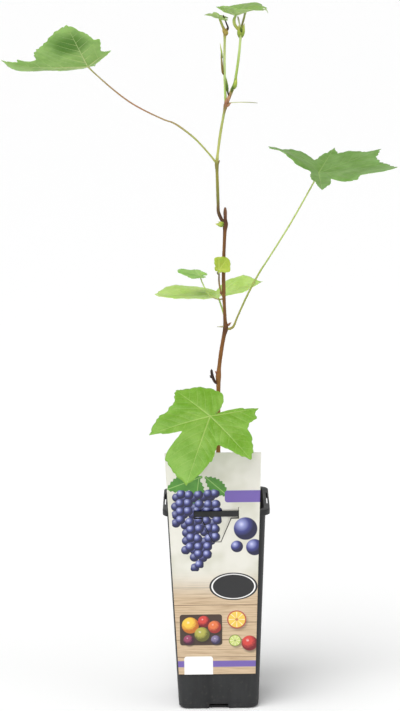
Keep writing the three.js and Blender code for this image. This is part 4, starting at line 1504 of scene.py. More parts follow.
LIMBS = (
    Limb("main_stem", Slot.BROWN_STEM,
         StemSkin("bark_main", STEM_STOPS, srgb(66, 38, 20), 0.55, 0.62, 0.00018),
         through((at(NODE["soil"], 4.4, -2), at(NODE["soil"], 2.6, 15), at(NODE["stub"], 2.9),
                  at(NODE["right"], 2.7), at(NODE["shoot"], 2.8), at(NODE["shoot"], 0.9, 17)),
                 (Span(3.0), Span(2.3, (0, 1, 0)), Span(2.1, (-1, 0, 0)), Span(1.9, (-2, -2, 0)),
                  Span(1.8))),
         sides=28, step=1.2, fibre=0.34, ribs=7, rib_depth=0.05),
    Limb("pruned_stub", Slot.DEAD_WOOD,
         StemSkin("bark_stub", even(srgb(74, 48, 32), srgb(46, 32, 26)), srgb(24, 17, 14), 0.6, 0.8, 0.0002),
         through((at(NODE["stub"], 1.5, -8), at(STUB_TIP, 1.4)), (Span(1.5, (-1, 0, -3)),)),
         sides=16, step=0.8, fibre=0.4),
    Limb("side_twig", Slot.BROWN_STEM,
         StemSkin("bark_twig", even(srgb(150, 112, 56), srgb(140, 116, 60), srgb(96, 82, 44)),
                  srgb(66, 44, 24), 0.45, 0.6),
         through((at(NODE["twig"], 1.0), at(TWIG_TIP, 0.8)), (Span(0.9, (-2, -1, 0)),)),
         sides=12, step=0.9),
    Limb("green_shoot", Slot.GREEN_STEM,
         StemSkin("shoot_skin", (
             (0.0, MAROON), (0.1, MAROON), (0.16, srgb(100, 78, 40)), (0.22, OLIVE_DARK), (0.42, OLIVE),
             (0.5, srgb(128, 124, 60)), (0.56, srgb(176, 180, 98)), (0.9, srgb(160, 170, 92)),
             (0.97, srgb(146, 108, 72)), (1.0, srgb(132, 90, 60))), srgb(92, 84, 36), 0.35, 0.5),
         through((at(NODE["shoot"], 1.9, -1), (6, 0, 516, 1.7), at(NODE["left"], 2.1),
                  at(NODE["fork"], 2.2), at(NODE["fork"], 1.2, 2)),
                 (Span(1.8, (-1, 0, 0)), Span(1.6, (0, 1, 0)), Span(1.4, (-1, 1, 0)), Span(1.8))),
         sides=20, step=1.2, fibre=0.12, ribs=6, rib_depth=0.05),
    Limb("shoot_left", Slot.GREEN_STEM,
         StemSkin("shoot_left_skin", (
             (0.0, srgb(170, 176, 104)), (0.1, FRESH_GREEN), (0.55, PALE_GREEN), (0.85, srgb(170, 180, 106)),
             (0.94, srgb(160, 150, 70)), (1.0, srgb(150, 134, 66))), srgb(124, 142, 66), 0.3, 0.5),
         through((at(NODE["fork"], 1.6, -2), at(NODE["left_tip"], 1.9, -1), at(NODE["left_tip"], 1.0, 1)),
                 (Span(1.3, (-1, 1, 0)), Span(1.6))),
         sides=18, fibre=0.08, ribs=6, rib_depth=0.05),
    Limb("shoot_right", Slot.GREEN_STEM,
         StemSkin("shoot_right_skin", (
             (0.0, srgb(132, 88, 60)), (0.1, srgb(150, 104, 72)), (0.16, srgb(140, 140, 66)),
             (0.25, srgb(138, 158, 66)), (0.4, FRESH_GREEN), (0.7, PALE_GREEN), (0.8, srgb(172, 186, 96)),
             (0.87, srgb(116, 104, 44)), (0.92, srgb(134, 138, 66)), (1.0, srgb(164, 170, 104))),
             srgb(116, 136, 58), 0.3, 0.5),
         through((at(NODE["fork"], 1.7, -1), (24, -1, 646, 1.5), at(NODE["right_tip"], 2.3),
                  (36, 0, 718, 1.1)),
                 (Span(1.8), Span(1.35, (1, -1, 0)), Span(1.1))),
         sides=18, fibre=0.08, ribs=6, rib_depth=0.05),
    stalk("upper_left", (srgb(168, 176, 96), srgb(160, 166, 92), srgb(158, 138, 92), STALK_RED,
                         srgb(166, 134, 90), srgb(184, 186, 118)),
          (at(NODE["left"], 1.3), (-40, 7, 607, 0.85)), 0.95,
          (Span(1.0, (0, 0, 5)), Span(0.8, (0, 0, -8))),
          srgb(140, 108, 70), 0.4, sides=12, step=2.2, fibre=0.06, ribs=1, rib_depth=0.1),
    stalk("right", (srgb(146, 134, 62), srgb(142, 152, 72), srgb(160, 178, 92), srgb(174, 192, 106),
                    srgb(176, 192, 110), srgb(180, 196, 116)),
          (at(NODE["right"], 1.4, 1), (20, -1, 397, 1.2), (50, -6, 458, 0.9)), 1.0,
          (Span(1.3, (0, 0, -2)), Span(1.0, (0, 0, 3)), Span(0.85, (0, 0, -3))),
          srgb(138, 150, 76), 0.35, sides=12, step=2.2, fibre=0.06, ribs=1, rib_depth=0.1),
    stalk("behind", (srgb(140, 120, 62), FRESH_GREEN, PALE_GREEN), (at(NODE["right"], 1.1, 3),), 0.9,
          (Span(0.9, (2, 0, -3)),), sides=12, fibre=0.06),
    stalk("front", (srgb(150, 110, 60), srgb(168, 172, 92), FRESH_GREEN, PALE_GREEN),
          (at(NODE["front"], 1.3),), 1.05, (Span(1.0, (1, 0, -7)),), sides=12, fibre=0.06),
    stalk("small_back", (srgb(140, 120, 62), FRESH_GREEN, PALE_GREEN), (at(NODE["twig"], 0.9, 1),), 0.7,
          (Span(0.7, (-2, -4, -8)),), sides=10, fibre=0.05),
    stalk("folded", (srgb(120, 104, 52), YELLOW_GREEN, PALE_GREEN), (at(TWIG_TIP, 0.75, -1),), 0.8,
          (Span(0.7, (-1, 0, 0)),), sides=10, step=0.8, fibre=0.05),
    stalk("top_right", (srgb(164, 168, 62), srgb(166, 174, 78), srgb(168, 184, 96), srgb(170, 190, 110)),
          (at(NODE["right_tip"], 1.6, -2),), 1.1, (Span(1.6, (-4, -1, 0)),),
          sides=12, step=0.8, fibre=0.05),
    stalk("top_left", (srgb(126, 96, 50), srgb(150, 146, 70), srgb(170, 182, 96), srgb(168, 182, 100)),
          (at(NODE["left_tip"], 1.3, -3),), 1.0, (Span(1.3, (0, -1, 0)),),
          sides=12, step=0.8, fibre=0.05),
)


# ---------------------------------------------------------------- leaf blades
NOTCH = (15.0, 0.82)  # half width and shoulder of a notch that gives none of its own
BASE_NOTCH = (24.0, 0.78)  # and of the one at the stalk
FULL_LENGTH = 90.0  # the longest lobe of a full-grown leaf, for which the vein radii are given
SIDE_RADIUS = 0.34  # of a side vein where it leaves the main one
SIDE_REACH, SIDE_STEP = 60.0, 3.0  # how far out a side vein may run, and between its stations
VEIN_STEP = 2.5  # between two points along a vein's skin
DIRECTIONS = 1441  # in which the plain margin is measured, four to a degree
JUST_PAST = 0.01  # degrees past a ray, inside the face that starts there
Lobe = tuple[float, float, float, float, float]
Fold = tuple[float, float, float, float, float]


@dataclass(frozen=True)
class Leaf:
    """A lobed blade that spreads from the point where its stalk meets it.

    heading, pitch and roll aim the middle vein. A lobe is its angle from the middle
    vein, its length, its starting slope, its bend and its curl. A notch is its place
    between two lobes, its depth and, where they differ, its half width and shoulder.
    A fold is its angle, its half width, the share by which it lengthens the blade, and
    the bend and the curl that it adds.
    """

    name: str
    junction: Place
    heading: float
    pitch: float
    roll: float
    lobes: tuple[Lobe, ...]
    notches: tuple[tuple[float, ...], ...]
    upper: BladeSkin
    under: BladeSkin
    seed: int
    plan: VeinPlan = VeinPlan()
    folds: tuple[Fold, ...] = ()
    rays: int = 440
    rings: int = 26
    tooth_spacing: float = 8.5
    tooth_depth: float = 2.4
    ripple: float = 1.2
    thickness: float = 0.5
    quilt: float = 0.7
    vein_radius: float = 0.55

    def build(self, tool: LimbSkin) -> None:
        """Makes the blade and its raised veins and settles them.

        Args:
            tool: the tool that makes the veins.
        """
        grid = self._grid()
        blade = self._blade(grid)
        settle(blade, Slot.BLADE, f"leaf_{self.name}")
        veins = tool.cover(f"veins_{self.name}", self._vein_lines(grid), VEIN_STEP, {
            "Sides": 6, "Fibre depth": 0.0, "Ribs": 0.0, "Rib depth": 0.0, "Seed": 0.0,
            "Material": StemSkin(f"vein_{self.name}", even(self.under.vein, self.under.patch),
                                 self.under.ground, 0.2, 0.5, 0.00003).make()})
        settle(veins, Slot.BLADE)

    # ---- outline and shape
    @property
    def longest(self) -> float:
        """The length of the longest lobe."""
        return max(lobe[1] for lobe in self.lobes)

    def _frame(self) -> np.ndarray:
        """The middle vein, the left side and the upper face as rows.

        Returns:
            Three unit vectors.
        """
        h, p, r = (math.radians(angle) for angle in (self.heading, self.pitch, self.roll))
        middle = np.array([math.cos(p) * math.cos(h), math.cos(p) * math.sin(h), math.sin(p)])
        level = np.array([-math.sin(h), math.cos(h), 0.0])
        upright = np.cross(middle, level)
        left = level * math.cos(r) + upright * math.sin(r)
        upper = upright * math.cos(r) - level * math.sin(r)
        return np.stack([middle, left, upper])

    def _notch_angles(self) -> list[float]:
        """The direction of each notch.

        Returns:
            The angles in degrees from the middle vein.
        """
        angles = []
        for i, (place, *_) in enumerate(self.notches):
            start = self.lobes[i][0]
            end = self.lobes[(i + 1) % len(self.lobes)][0]
            end += 360 if i == len(self.lobes) - 1 else 0
            angles.append(start + (end - start) * place)
        return angles

    def _at(self, angle: float) -> tuple[float, float, float, float, int]:
        """Reach, starting slope, bend, curl and owning vein in a direction.

        Args:
            angle: the direction, in degrees from the middle vein.

        Returns:
            The five of them.
        """
        lobes, last = self.lobes, len(self.lobes) - 1
        index = max((i for i, lobe in enumerate(lobes) if lobe[0] <= angle), default=-1)
        turned = angle
        if index < 0:
            index, turned = last, angle + 360
        a, b = lobes[index], lobes[(index + 1) % len(lobes)]
        start, end = a[0], b[0] + (360 if index == last else 0)
        notch = self.notches[index]
        place, depth = notch[:2]
        width, shoulder = BASE_NOTCH if index == last else NOTCH
        width = notch[2] if len(notch) > 2 else width
        shoulder = notch[3] if len(notch) > 3 else shoulder
        middle = start + (end - start) * place
        floor = depth * (a[1] + (b[1] - a[1]) * place)
        before, after = min(width, 0.8 * (middle - start)), min(width, 0.8 * (end - middle))
        if turned <= middle - before:
            reach = a[1] * (1 - (1 - shoulder) * (turned - start) / (middle - before - start))
        elif turned <= middle:
            share = ease((turned - middle + before) / before)
            reach = a[1] * shoulder * (1 - share) + floor * share
        elif turned <= middle + after:
            share = ease((turned - middle) / after)
            reach = floor * (1 - share) + b[1] * shoulder * share
        else:
            share = (turned - middle - after) / (end - middle - after)
            reach = b[1] * (shoulder + (1 - shoulder) * share)
        blend = ease((turned - start) / (end - start))
        rise, bend, curl = (a[k] + (b[k] - a[k]) * blend for k in (2, 3, 4))
        owner = index if turned <= middle else (index + 1) % len(lobes)
        for centre, half, growth, more_bend, more_curl in self.folds:
            away = abs((angle - centre + 180) % 360 - 180) / half
            weight = float(ease(1 - away)) if away < 1 else 0.0
            reach *= 1 + growth * weight
            bend += more_bend * weight
            curl += more_curl * weight
        return reach, rise, bend, curl, owner

    def _teeth(self, angles: np.ndarray, run: np.ndarray, perimeter: float) -> np.ndarray:
        """How far the toothed margin stands out from the plain one.

        Args:
            angles: the direction of each ray.
            run: the distance of each ray along the margin.
            perimeter: the length of the whole margin.

        Returns:
            The extra reach of each ray; a lobe's tip is always a tooth.
        """
        rng = np.random.default_rng(self.seed)
        tips = np.interp([lobe[0] for lobe in self.lobes], angles, run)
        extra = np.zeros(len(angles))
        for i, tip in enumerate(tips):
            length = (tips[(i + 1) % len(tips)] - tip) % perimeter
            local = (run - tip) % perimeter
            inside = local < length
            count = max(2, round(length / self.tooth_spacing))
            place = local[inside] / length * count + 0.5
            drift = 0.3 * np.sin(4 * math.pi * place / max(count, 3) + rng.uniform(0, 6))
            place = place + drift * (place % count > 0.5)
            sizes = rng.uniform(0.3, 1.1, count + 2)
            sizes[0] = sizes[-2] = 1.2
            lean = rng.uniform(-0.2, 0.2, count + 2)
            number = np.clip(np.floor(place).astype(int), 0, count + 1)
            share = np.clip(place - number + lean[number] * np.sin(math.pi * (place - number)), 0, 1)
            tooth = 1 - np.abs(2 * share - 1) ** 1.5
            extra[inside] = self.tooth_depth * sizes[number] * (tooth - 0.5)
        return extra

    def _grid(self) -> Grid:
        """The blade's middle surface as rays and rings, with all that is measured on it.

        Returns:
            The measures by name.
        """
        fine = np.linspace(-180, 180, DIRECTIONS)
        rough = np.array([self._at(angle)[0] for angle in fine])
        turn = np.radians(fine)
        margin = np.stack([rough * np.cos(turn), rough * np.sin(turn)], 1)
        run = np.concatenate([[0], np.cumsum(np.linalg.norm(np.diff(margin, axis=0), axis=1))])
        measure = run / run[-1] + 0.3 * (fine + 180) / 360
        angles = np.interp(np.linspace(0, measure[-1], self.rays, endpoint=False), measure, fine)
        wanted = [lobe[0] for lobe in self.lobes] + [(a + 180) % 360 - 180 for a in self._notch_angles()]
        for angle in wanted:
            angles[np.abs(angles - angle).argmin()] = angle
        rows = np.array([self._at(angle) for angle in angles])
        reach = rows[:, 0] + self._teeth(angles, np.interp(angles, fine, run), run[-1])
        share = np.linspace(0, 1, self.rings + 1)
        distance = reach[:, None] * share
        owner = rows[:, 4].astype(int)
        points = self._surface(angles, distance, rows)
        own = np.radians(angles - np.array([lobe[0] for lobe in self.lobes])[owner])[:, None]
        along, across = distance * np.cos(own), distance * np.sin(own)
        outward = np.gradient(points, axis=1)
        around = np.roll(points, -1, 0) - np.roll(points, 1, 0)
        normal = np.cross(outward, around)
        normal[:, 0] = self._frame()[2]
        normal /= np.maximum(np.linalg.norm(normal, axis=2, keepdims=True), 1e-9)
        points = points + normal * self._relief(angles, distance, share, along, across)[..., None]
        return {"angles": angles, "reach": reach, "distance": distance, "points": points,
                "owner": owner, "normal": normal, "share": share}

    def _surface(self, angles: np.ndarray, distance: np.ndarray, rows: np.ndarray) -> np.ndarray:
        """Follows the blade's slope outwards along each ray.

        Args:
            angles: the direction of each ray.
            distance: how far out each point lies.
            rows: slope, bend and curl of each ray.

        Returns:
            The points.
        """
        substeps = 4
        middle, left, upper = self._frame()
        turn = np.radians(angles)[:, None]
        along = np.cos(turn) * middle + np.sin(turn) * left
        rise, bend, curl = (rows[:, k][:, None] for k in (1, 2, 3))
        stride = distance[:, 1:2] / substeps
        count = (distance.shape[1] - 1) * substeps
        share = (np.arange(count) + 0.5) * stride / self.longest
        slope = np.radians(rise + bend * share + curl * share**4)
        out = np.cumsum(np.cos(slope) * stride, 1)[:, substeps - 1::substeps]
        up = np.cumsum(np.sin(slope) * stride, 1)[:, substeps - 1::substeps]
        surface = np.zeros((*distance.shape, 3)) + np.array(self.junction)
        surface[:, 1:] += out[..., None] * along[:, None] + up[..., None] * upper
        return surface

    def _relief(self, angles: np.ndarray, distance: np.ndarray, share: np.ndarray,
                along: np.ndarray, across: np.ndarray) -> np.ndarray:
        """Quilting between the side veins, creases at the main ones and a rippled margin.

        Args:
            angles: the direction of each ray.
            distance: how far out each point lies.
            share: how far out each ring lies.
            along, across: each point along and across the vein that owns it.

        Returns:
            How far each point is raised.
        """
        rng = np.random.default_rng(self.seed + 50)
        waves = np.zeros((len(angles), 1))
        for count in (5, 9, 14):
            waves += np.sin(np.radians(angles * count + rng.uniform(0, 360)))[:, None] * (6 / count)
        ripple = self.ripple * 0.5 * waves * share**3
        phase = self.plan.phase(along, across)
        side = np.abs(across)
        open_field = 1 - np.exp(-side / 3)
        quilt = self.quilt * np.sin(math.pi * phase) ** 2 * open_field * np.clip(1.15 - share, 0, 1)
        crease = -0.6 * self.quilt * np.exp(-((side / 1.6) ** 2)) * (1 - share)
        gaps = [np.abs((angles - notch + 180) % 360 - 180) for notch in self._notch_angles()]
        seam = np.radians(np.min(gaps, axis=0))[:, None] * distance
        return (quilt * (1 - np.exp(-seam / 3)) + crease) * np.minimum(distance / 4, 1) + ripple

    # ---- meshes
    def _blade(self, grid: Grid) -> bpy.types.Object:
        """The closed blade with its upper and under skins and its two UV maps.

        Args:
            grid: the blade's grid.

        Returns:
            The blade.
        """
        points, normal = grid["points"], grid["normal"]
        rays, rings = points.shape[0], points.shape[1] - 1
        taper = (self.thickness / 2 * (1 - 0.55 * grid["share"][1:] ** 4))[None, :, None]
        centre = points[0, 0]
        up = self._frame()[2] * self.thickness / 2
        sheets = [points[:, 1:] + normal[:, 1:] * taper * sign for sign in (1, -1)]
        vertices = np.concatenate([[centre + up], sheets[0].reshape(-1, 3),
                                   [centre - up], sheets[1].reshape(-1, 3)])
        faces, corners, skins = [], [], []

        def at(sheet: int, ray: int, ring: int) -> int:
            """The vertex number of a corner; ring 0 is the centre."""
            base = sheet * (rays * rings + 1)
            return base if ring == 0 else base + 1 + (ray % rays) * rings + ring - 1

        for ray in range(rays):
            for ring in range(rings):
                loop = [(ray, ring), (ray, ring + 1), (ray + 1, ring + 1), (ray + 1, ring)]
                loop = loop[:3] if ring == 0 else loop
                for sheet in (0, 1):
                    order = loop if sheet == 0 else loop[::-1]
                    faces.append(tuple(at(sheet, *corner) for corner in order))
                    corners += [(ray, *corner) for corner in order]
                    skins.append(sheet)
            rim = [(0, ray), (1, ray), (1, ray + 1), (0, ray + 1)]
            faces.append(tuple(at(sheet, edge, rings) for sheet, edge in rim))
            corners += [(ray, edge, rings) for _, edge in rim]
            skins.append(1)
        blade = solid(f"blade_{self.name}", vertices, faces)
        blade.data.materials.append(self.upper.make())
        blade.data.materials.append(self.under.make())
        blade.data.polygons.foreach_set("material_index", skins)
        self._map(blade.data, grid, np.array(corners))
        share = np.tile(grid["share"][1:], rays)
        edge = np.concatenate([[0.0], share, [0.0], share]).astype(np.float32)
        blade.data.attributes.new("edge", "FLOAT", "POINT").data.foreach_set("value", edge)
        return blade

    def _map(self, mesh: bpy.types.Mesh, grid: Grid, corners: np.ndarray) -> None:
        """Lays the flat map and the vein map, which follows the vein that owns a face.

        Args:
            mesh: the blade's mesh.
            grid: the blade's grid.
            corners: the face's ray, the ray and the ring of each corner.
        """
        face_ray, ray, ring = corners.T
        rays = len(grid["angles"])
        angle = grid["angles"][ray % rays] + np.where(ray >= rays, 360, 0)
        distance = grid["distance"][ray % rays, ring]
        inside = (grid["angles"] + JUST_PAST + 180) % 360 - 180
        owner = np.array([self._at(start)[4] for start in inside])[face_ray]
        flat = np.radians(angle)
        own = np.radians(angle - np.array([lobe[0] for lobe in self.lobes])[owner])
        for name, turn in ("blade", flat), ("vein", own):
            layer = mesh.uv_layers.new(name=name)
            spots = np.stack([distance * np.cos(turn), distance * np.sin(turn)], 1) / UV_UNIT
            layer.data.foreach_set("uv", spots.astype(np.float32).ravel())

    def _point(self, grid: Grid, x: float, y: float) -> tuple[np.ndarray, float, int]:
        """The place on the underside for a spot on the flat blade.

        Args:
            grid: the blade's grid.
            x, y: the spot, along and to the left of the middle vein.

        Returns:
            The place, the share of the reach that it lies at, and the owning vein.
        """
        angles = grid["angles"]
        angle = math.degrees(math.atan2(y, x))
        low = int(np.searchsorted(angles, angle, side="right")) - 1
        high = (low + 1) % len(angles)
        span = (angles[high] - angles[low]) % 360 or 1.0
        blend = ((angle - angles[low]) % 360) / span
        reach = (1 - blend) * grid["reach"][low] + blend * grid["reach"][high]
        share = math.hypot(x, y) / reach
        place = min(share, 1.0) * self.rings
        ring = min(int(place), self.rings - 1)
        part = place - ring

        def between(field_: np.ndarray) -> np.ndarray:
            """The field at the spot, from the four grid points round it.

            Args:
                field_: a value for each grid point.

            Returns:
                The value at the spot.
            """
            inner = (1 - blend) * field_[low, ring] + blend * field_[high, ring]
            outer = (1 - blend) * field_[low, ring + 1] + blend * field_[high, ring + 1]
            return (1 - part) * inner + part * outer

        spot = between(grid["points"]) - between(grid["normal"]) * self.thickness * 0.55
        return spot, share, int(grid["owner"][low])

    def _vein_lines(self, grid: Grid) -> list[list[Station]]:
        """Stations of the raised veins under the blade: five main ones and their side veins.

        Args:
            grid: the blade's grid.

        Returns:
            The stations of each vein.
        """
        plan = self.plan
        size = self.longest / FULL_LENGTH
        lines = []
        for owner, (angle, length, *_) in enumerate(self.lobes):
            turn = math.radians(angle)
            heading = np.array([math.cos(turn), math.sin(turn)])
            across = np.array([-heading[1], heading[0]])
            main = []
            for along in np.arange(0.0, length * 0.97, min(4.0, length / 5)):
                spot, share, _ = self._point(grid, *(heading * along))
                radius = self.vein_radius * size * (1 - 0.8 * share)
                main.append((*spot, radius))
            lines.append(main)
            for side in (1, -1):
                number = 0 if side < 0 else 1
                while True:
                    offset = 0.5 if side > 0 else 0.0
                    start = plan.first + (number - offset) * plan.spacing
                    number += 1
                    if start > length * 0.9:
                        break
                    line = self._side_line(grid, owner, start, heading, across * side)
                    if len(line) > 2:
                        lines.append(line)
        return lines

    def _side_line(self, grid: Grid, owner: int, start: float,
                   heading: np.ndarray, across: np.ndarray) -> list[Station]:
        """Stations of one side vein, until it meets the margin or the next vein's ground.

        Args:
            grid: the blade's grid.
            owner: the main vein that it leaves.
            start: how far along that vein.
            heading, across: the main vein's direction and the one to its side.

        Returns:
            Its stations.
        """
        plan = self.plan
        size = self.longest / FULL_LENGTH
        line: list[Station] = []
        for out in np.arange(0.0, SIDE_REACH, SIDE_STEP):
            x, y = heading * (start + out * plan.slant + out**2 * plan.sweep) + across * out
            spot, share, nearest = self._point(grid, x, y)
            if share > 0.95 or (nearest != owner and out > 0):
                break
            line.append((*spot, SIDE_RADIUS * size * max(0.25, 1 - share)))
        return line


def skins(name: str, ground: Colour, patch: Colour, vein: Colour, pale: Colour, pale_patch: Colour,
          plan: VeinPlan, glow: float = 0.3,
          spot: Place = (0.0, 0.0, 0.0)) -> tuple[BladeSkin, BladeSkin]:
    """The upper and the under skin of a leaf.

    Args:
        name: the leaf's name.
        ground, patch, vein: the colours of the upper face.
        pale, pale_patch: the colours of the under face.
        plan: the vein plan.
        glow: how much light the blade lets through.
        spot: the place and the size of a darker green spot of painted shade on the flat blade.

    Returns:
        The two finishes.
    """
    # Both faces darken to painted shade inside the spot; the under face has its own darker green
    upper = BladeSkin(f"upper_{name}", plan, ground, patch, vein, patch, 0.45, -0.6, 0.46, glow,
                      painted_shade_spot=spot)
    pale_vein = srgb(196, 208, 144)
    under = BladeSkin(f"under_{name}", plan, pale, pale_patch, pale_vein, pale_patch, 0.3, 0.4, 0.6, glow,
                      srgb(66, 118, 6), spot)
    return upper, under


def leaves() -> list[Leaf]:
    """The eight leaves.

    Returns:
        The leaves in the order in which they are built.
    """
    broad = VeinPlan()
    medium = VeinPlan(spacing=7.5, first=6.0)
    small = VeinPlan(spacing=4.5, first=3.0)
    tiny = VeinPlan(spacing=3.0, first=2.0)
    # The upper-left leaf gets a spot of painted shade on its blade, for the shade of a fold
    fresh = skins("upper_left", srgb(82, 124, 22), srgb(112, 150, 60), srgb(160, 184, 100),
                  srgb(124, 162, 78), srgb(146, 182, 98), broad, spot=(24, 42, 26))
    right = skins("right", srgb(92, 132, 44), srgb(118, 154, 82), srgb(156, 182, 110),
                  srgb(118, 156, 78), srgb(142, 176, 104), broad)
    front = skins("front", srgb(98, 146, 16), srgb(124, 164, 60), srgb(178, 200, 116),
                  srgb(132, 168, 84), srgb(150, 184, 104), broad)
    behind = skins("behind", srgb(162, 192, 88), srgb(184, 208, 118), srgb(210, 224, 156),
                   srgb(168, 196, 104), srgb(190, 212, 132), medium, 0.5)
    top = skins("top_right", srgb(108, 144, 58), srgb(134, 164, 84), srgb(172, 188, 116),
                srgb(140, 168, 92), srgb(164, 190, 120), small, 0.4)
    tip = skins("top_left", srgb(124, 150, 78), srgb(150, 172, 102), srgb(190, 202, 140),
                srgb(138, 160, 92), srgb(162, 180, 116), tiny, 0.4)
    back = skins("small_back", srgb(120, 168, 70), srgb(150, 190, 98), srgb(192, 212, 138),
                 srgb(140, 176, 92), srgb(164, 194, 116), tiny, 0.4)
    cupped = skins("folded", srgb(142, 160, 44), srgb(172, 188, 68), srgb(190, 202, 100),
                   srgb(134, 152, 46), srgb(164, 182, 68), tiny, 0.4)
    return [
        Leaf("upper_left", JUNCTION["upper_left"], 190, 0, 30, (
            (-100, 40, 25, 0, 0), (-60, 75, 20, 0, 0), (0, 88, 0, 0, 30), (70, 82, 5, 0, 0),
            (118, 41, 3, -15, 0)),
            ((0.5, 0.6), (0.5, 0.6), (0.2, 0.65, 12, 0.76), (0.5, 0.85), (0.45, 0.15, 80, 0.4)),
            *fresh, seed=3, plan=broad, folds=(
                (5, 5, 0.12, 0, 20), (45, 22, -0.06, 0, 0), (97, 5, 0.1, 0, 0))),
        Leaf("right", JUNCTION["right"], -30, 0, 0, (
            (-140, 60, 40, -30, -60), (-60, 70, -8, 0, 0), (0, 90, 5, 0, 0), (57, 75, 15, 0, 0),
            (102, 63, 18, 0, 0)),
            ((0.6, 0.25, 25, 0.6), (0.35, 0.4), (0.5, 0.75), (0.5, 0.85), (0.2, 0.5, 20)),
            *right, seed=4, plan=broad, folds=(
                (-140, 16, -0.05, 0, -55), (-105, 18, -0.08, 0, 0), (-34, 6, 0.1, -5, 0),
                (-20, 11, -0.2, 0, 0), (0, 4, -0.04, 0, 0))),
        Leaf("behind", JUNCTION["behind"], 125, 0, 0, (
            (-95, 56, 10, 0, 0), (-66, 55, 15, 0, 0), (8, 64, 4, 0, 0), (38, 68, -1, 0, 0),
            (95, 42, 0, 0, 0)),
            ((0.5, 1, 15, 1), (0.5, 0.2, 30), (0.5, 1, 15, 1), (0.5, 0.85, 15, 0.92), (0.5, 0.15, 60, 0.6)),
            *behind, seed=5, plan=medium, rays=380, rings=22, tooth_spacing=7.5, tooth_depth=1.5),
        Leaf("front", JUNCTION["front"], -110, -35, -15, (
            (-120, 50, 0, -15, 0), (-55, 65, 0, -15, 0), (0, 85, 0, -15, 0), (55, 65, 0, -15, 0),
            (120, 50, 0, 0, 0)),
            ((0.5, 0.75), (0.3, 0.5), (0.5, 0.5, 12, 0.67), (0.5, 0.7), (0.15, 0.12, 40, 0.68)),
            *front, seed=6, plan=broad, folds=(
                (75, 12, -0.05, 0, 0), (104, 8, 0.12, 0, 0), (126, 6, 0.1, 0, 0)),
            tooth_spacing=9.5, tooth_depth=1.8),
        Leaf("top_right", JUNCTION["top_right"], 10, 15, 0, (
            (-130, 25, 35, 0, 0), (-40, 36, 10, -20, -30), (0, 40, 35, -75, -50),
            (50, 36, 20, -20, -10), (130, 25, 30, 0, 0)),
            ((0.5, 0.6), (0.5, 0.9), (0.5, 0.95), (0.5, 0.8), (0.5, 0.25, 40, 0.6)),
            *top, seed=7, plan=small, rays=300, rings=16, tooth_spacing=5.0, tooth_depth=1.6,
            ripple=0.7, quilt=0.45, thickness=0.45, vein_radius=0.9),
        Leaf("folded", JUNCTION["folded"], 0, 50, 90, (
            (-105, 4, 0, 0, 0), (-50, 12, 0, -30, 0), (0, 15, 0, -40, 0), (40, 13, 0, -30, 0),
            (110, 5, 0, 0, 0)),
            ((0.5, 0.95, 15, 0.97), (0.5, 1, 15, 1), (0.5, 1, 15, 1), (0.5, 0.95, 15, 0.97), (0.5, 0.3)),
            *cupped, seed=8, plan=tiny, rays=220, rings=12, tooth_spacing=2.8, tooth_depth=0.05,
            ripple=0.3, quilt=0.25, thickness=0.4, vein_radius=1.2),
        Leaf("small_back", JUNCTION["small_back"], 170, 8, -10, (
            (-120, 10, 5, 0, 0), (-60, 18, 0, 0, 0), (0, 24, 5, 0, 0), (60, 18, 5, 0, 0),
            (120, 10, 5, 0, 0)),
            ((0.5, 0.85, 15, 0.95), (0.5, 0.9, 15, 0.95), (0.5, 0.9, 15, 0.95), (0.5, 0.85, 15, 0.95),
             (0.5, 0.2)),
            *back, seed=9, plan=tiny, rays=220, rings=12, tooth_spacing=3.2, tooth_depth=1.0,
            ripple=0.3, quilt=0.25, thickness=0.4, vein_radius=1.2),
        Leaf("top_left", JUNCTION["top_left"], 180, 15, -15, (
            (-130, 13, -5, 0, 0), (-60, 12, 5, -10, 0), (0, 15, 5, -20, -20), (60, 12, 0, 15, 0),
            (130, 13, 5, 0, 0)),
            ((0.5, 0.6), (0.5, 0.6), (0.5, 0.6), (0.5, 0.6), (0.5, 0.25)),
            *tip, seed=10, plan=tiny, rays=220, rings=12, tooth_spacing=2.6, tooth_depth=0.8,
            ripple=0.3, quilt=0.2, thickness=0.4, vein_radius=1.2),
    ]


# ---------------------------------------------------------------- buds, tendrils and dried bits
@dataclass(frozen=True)
class Sprig:
    """Small things of one kind, each a short line of stations, joined into one piece."""

    name: str
    slot: Slot
    skin: StemSkin
    lines: tuple[tuple[Station, ...], ...]
    sides: int = 10
    step: float = 0.5

    def build(self, tool: LimbSkin) -> None:
        """Covers the lines and settles the piece.

        Args:
            tool: the tool that makes the skin.
        """
        piece = tool.cover(self.name, self.lines, self.step, {
            "Sides": self.sides, "Fibre depth": 0.05 * MM, "Ribs": 0.0, "Rib depth": 0.0,
            "Seed": 3.0, "Material": self.skin.make()})
        settle(piece, self.slot)


def bud(place: Place, base: Place,
        tip: Place, radius: float) -> tuple[Station, ...]:
    """A pointed bud or scale, widest in its lower half.

    Args:
        place: the place that it grows by.
        base, tip: its two ends, measured from that place.
        radius: its radius where it is widest.

    Returns:
        Its stations.
    """
    start, end = np.add(place, base), np.add(place, tip)
    shape = ((0.0, 0.5), (0.2, 0.95), (0.42, 1.0), (0.7, 0.62), (0.9, 0.25), (1.0, 0.06))
    return tuple((*(start + (end - start) * share), radius * width) for share, width in shape)


def shred(place: Place, *stations: Station) -> tuple[Station, ...]:
    """A withered thread whose stations are measured from a place."""
    return tuple((*np.add(place, station[:3]), station[3]) for station in stations)


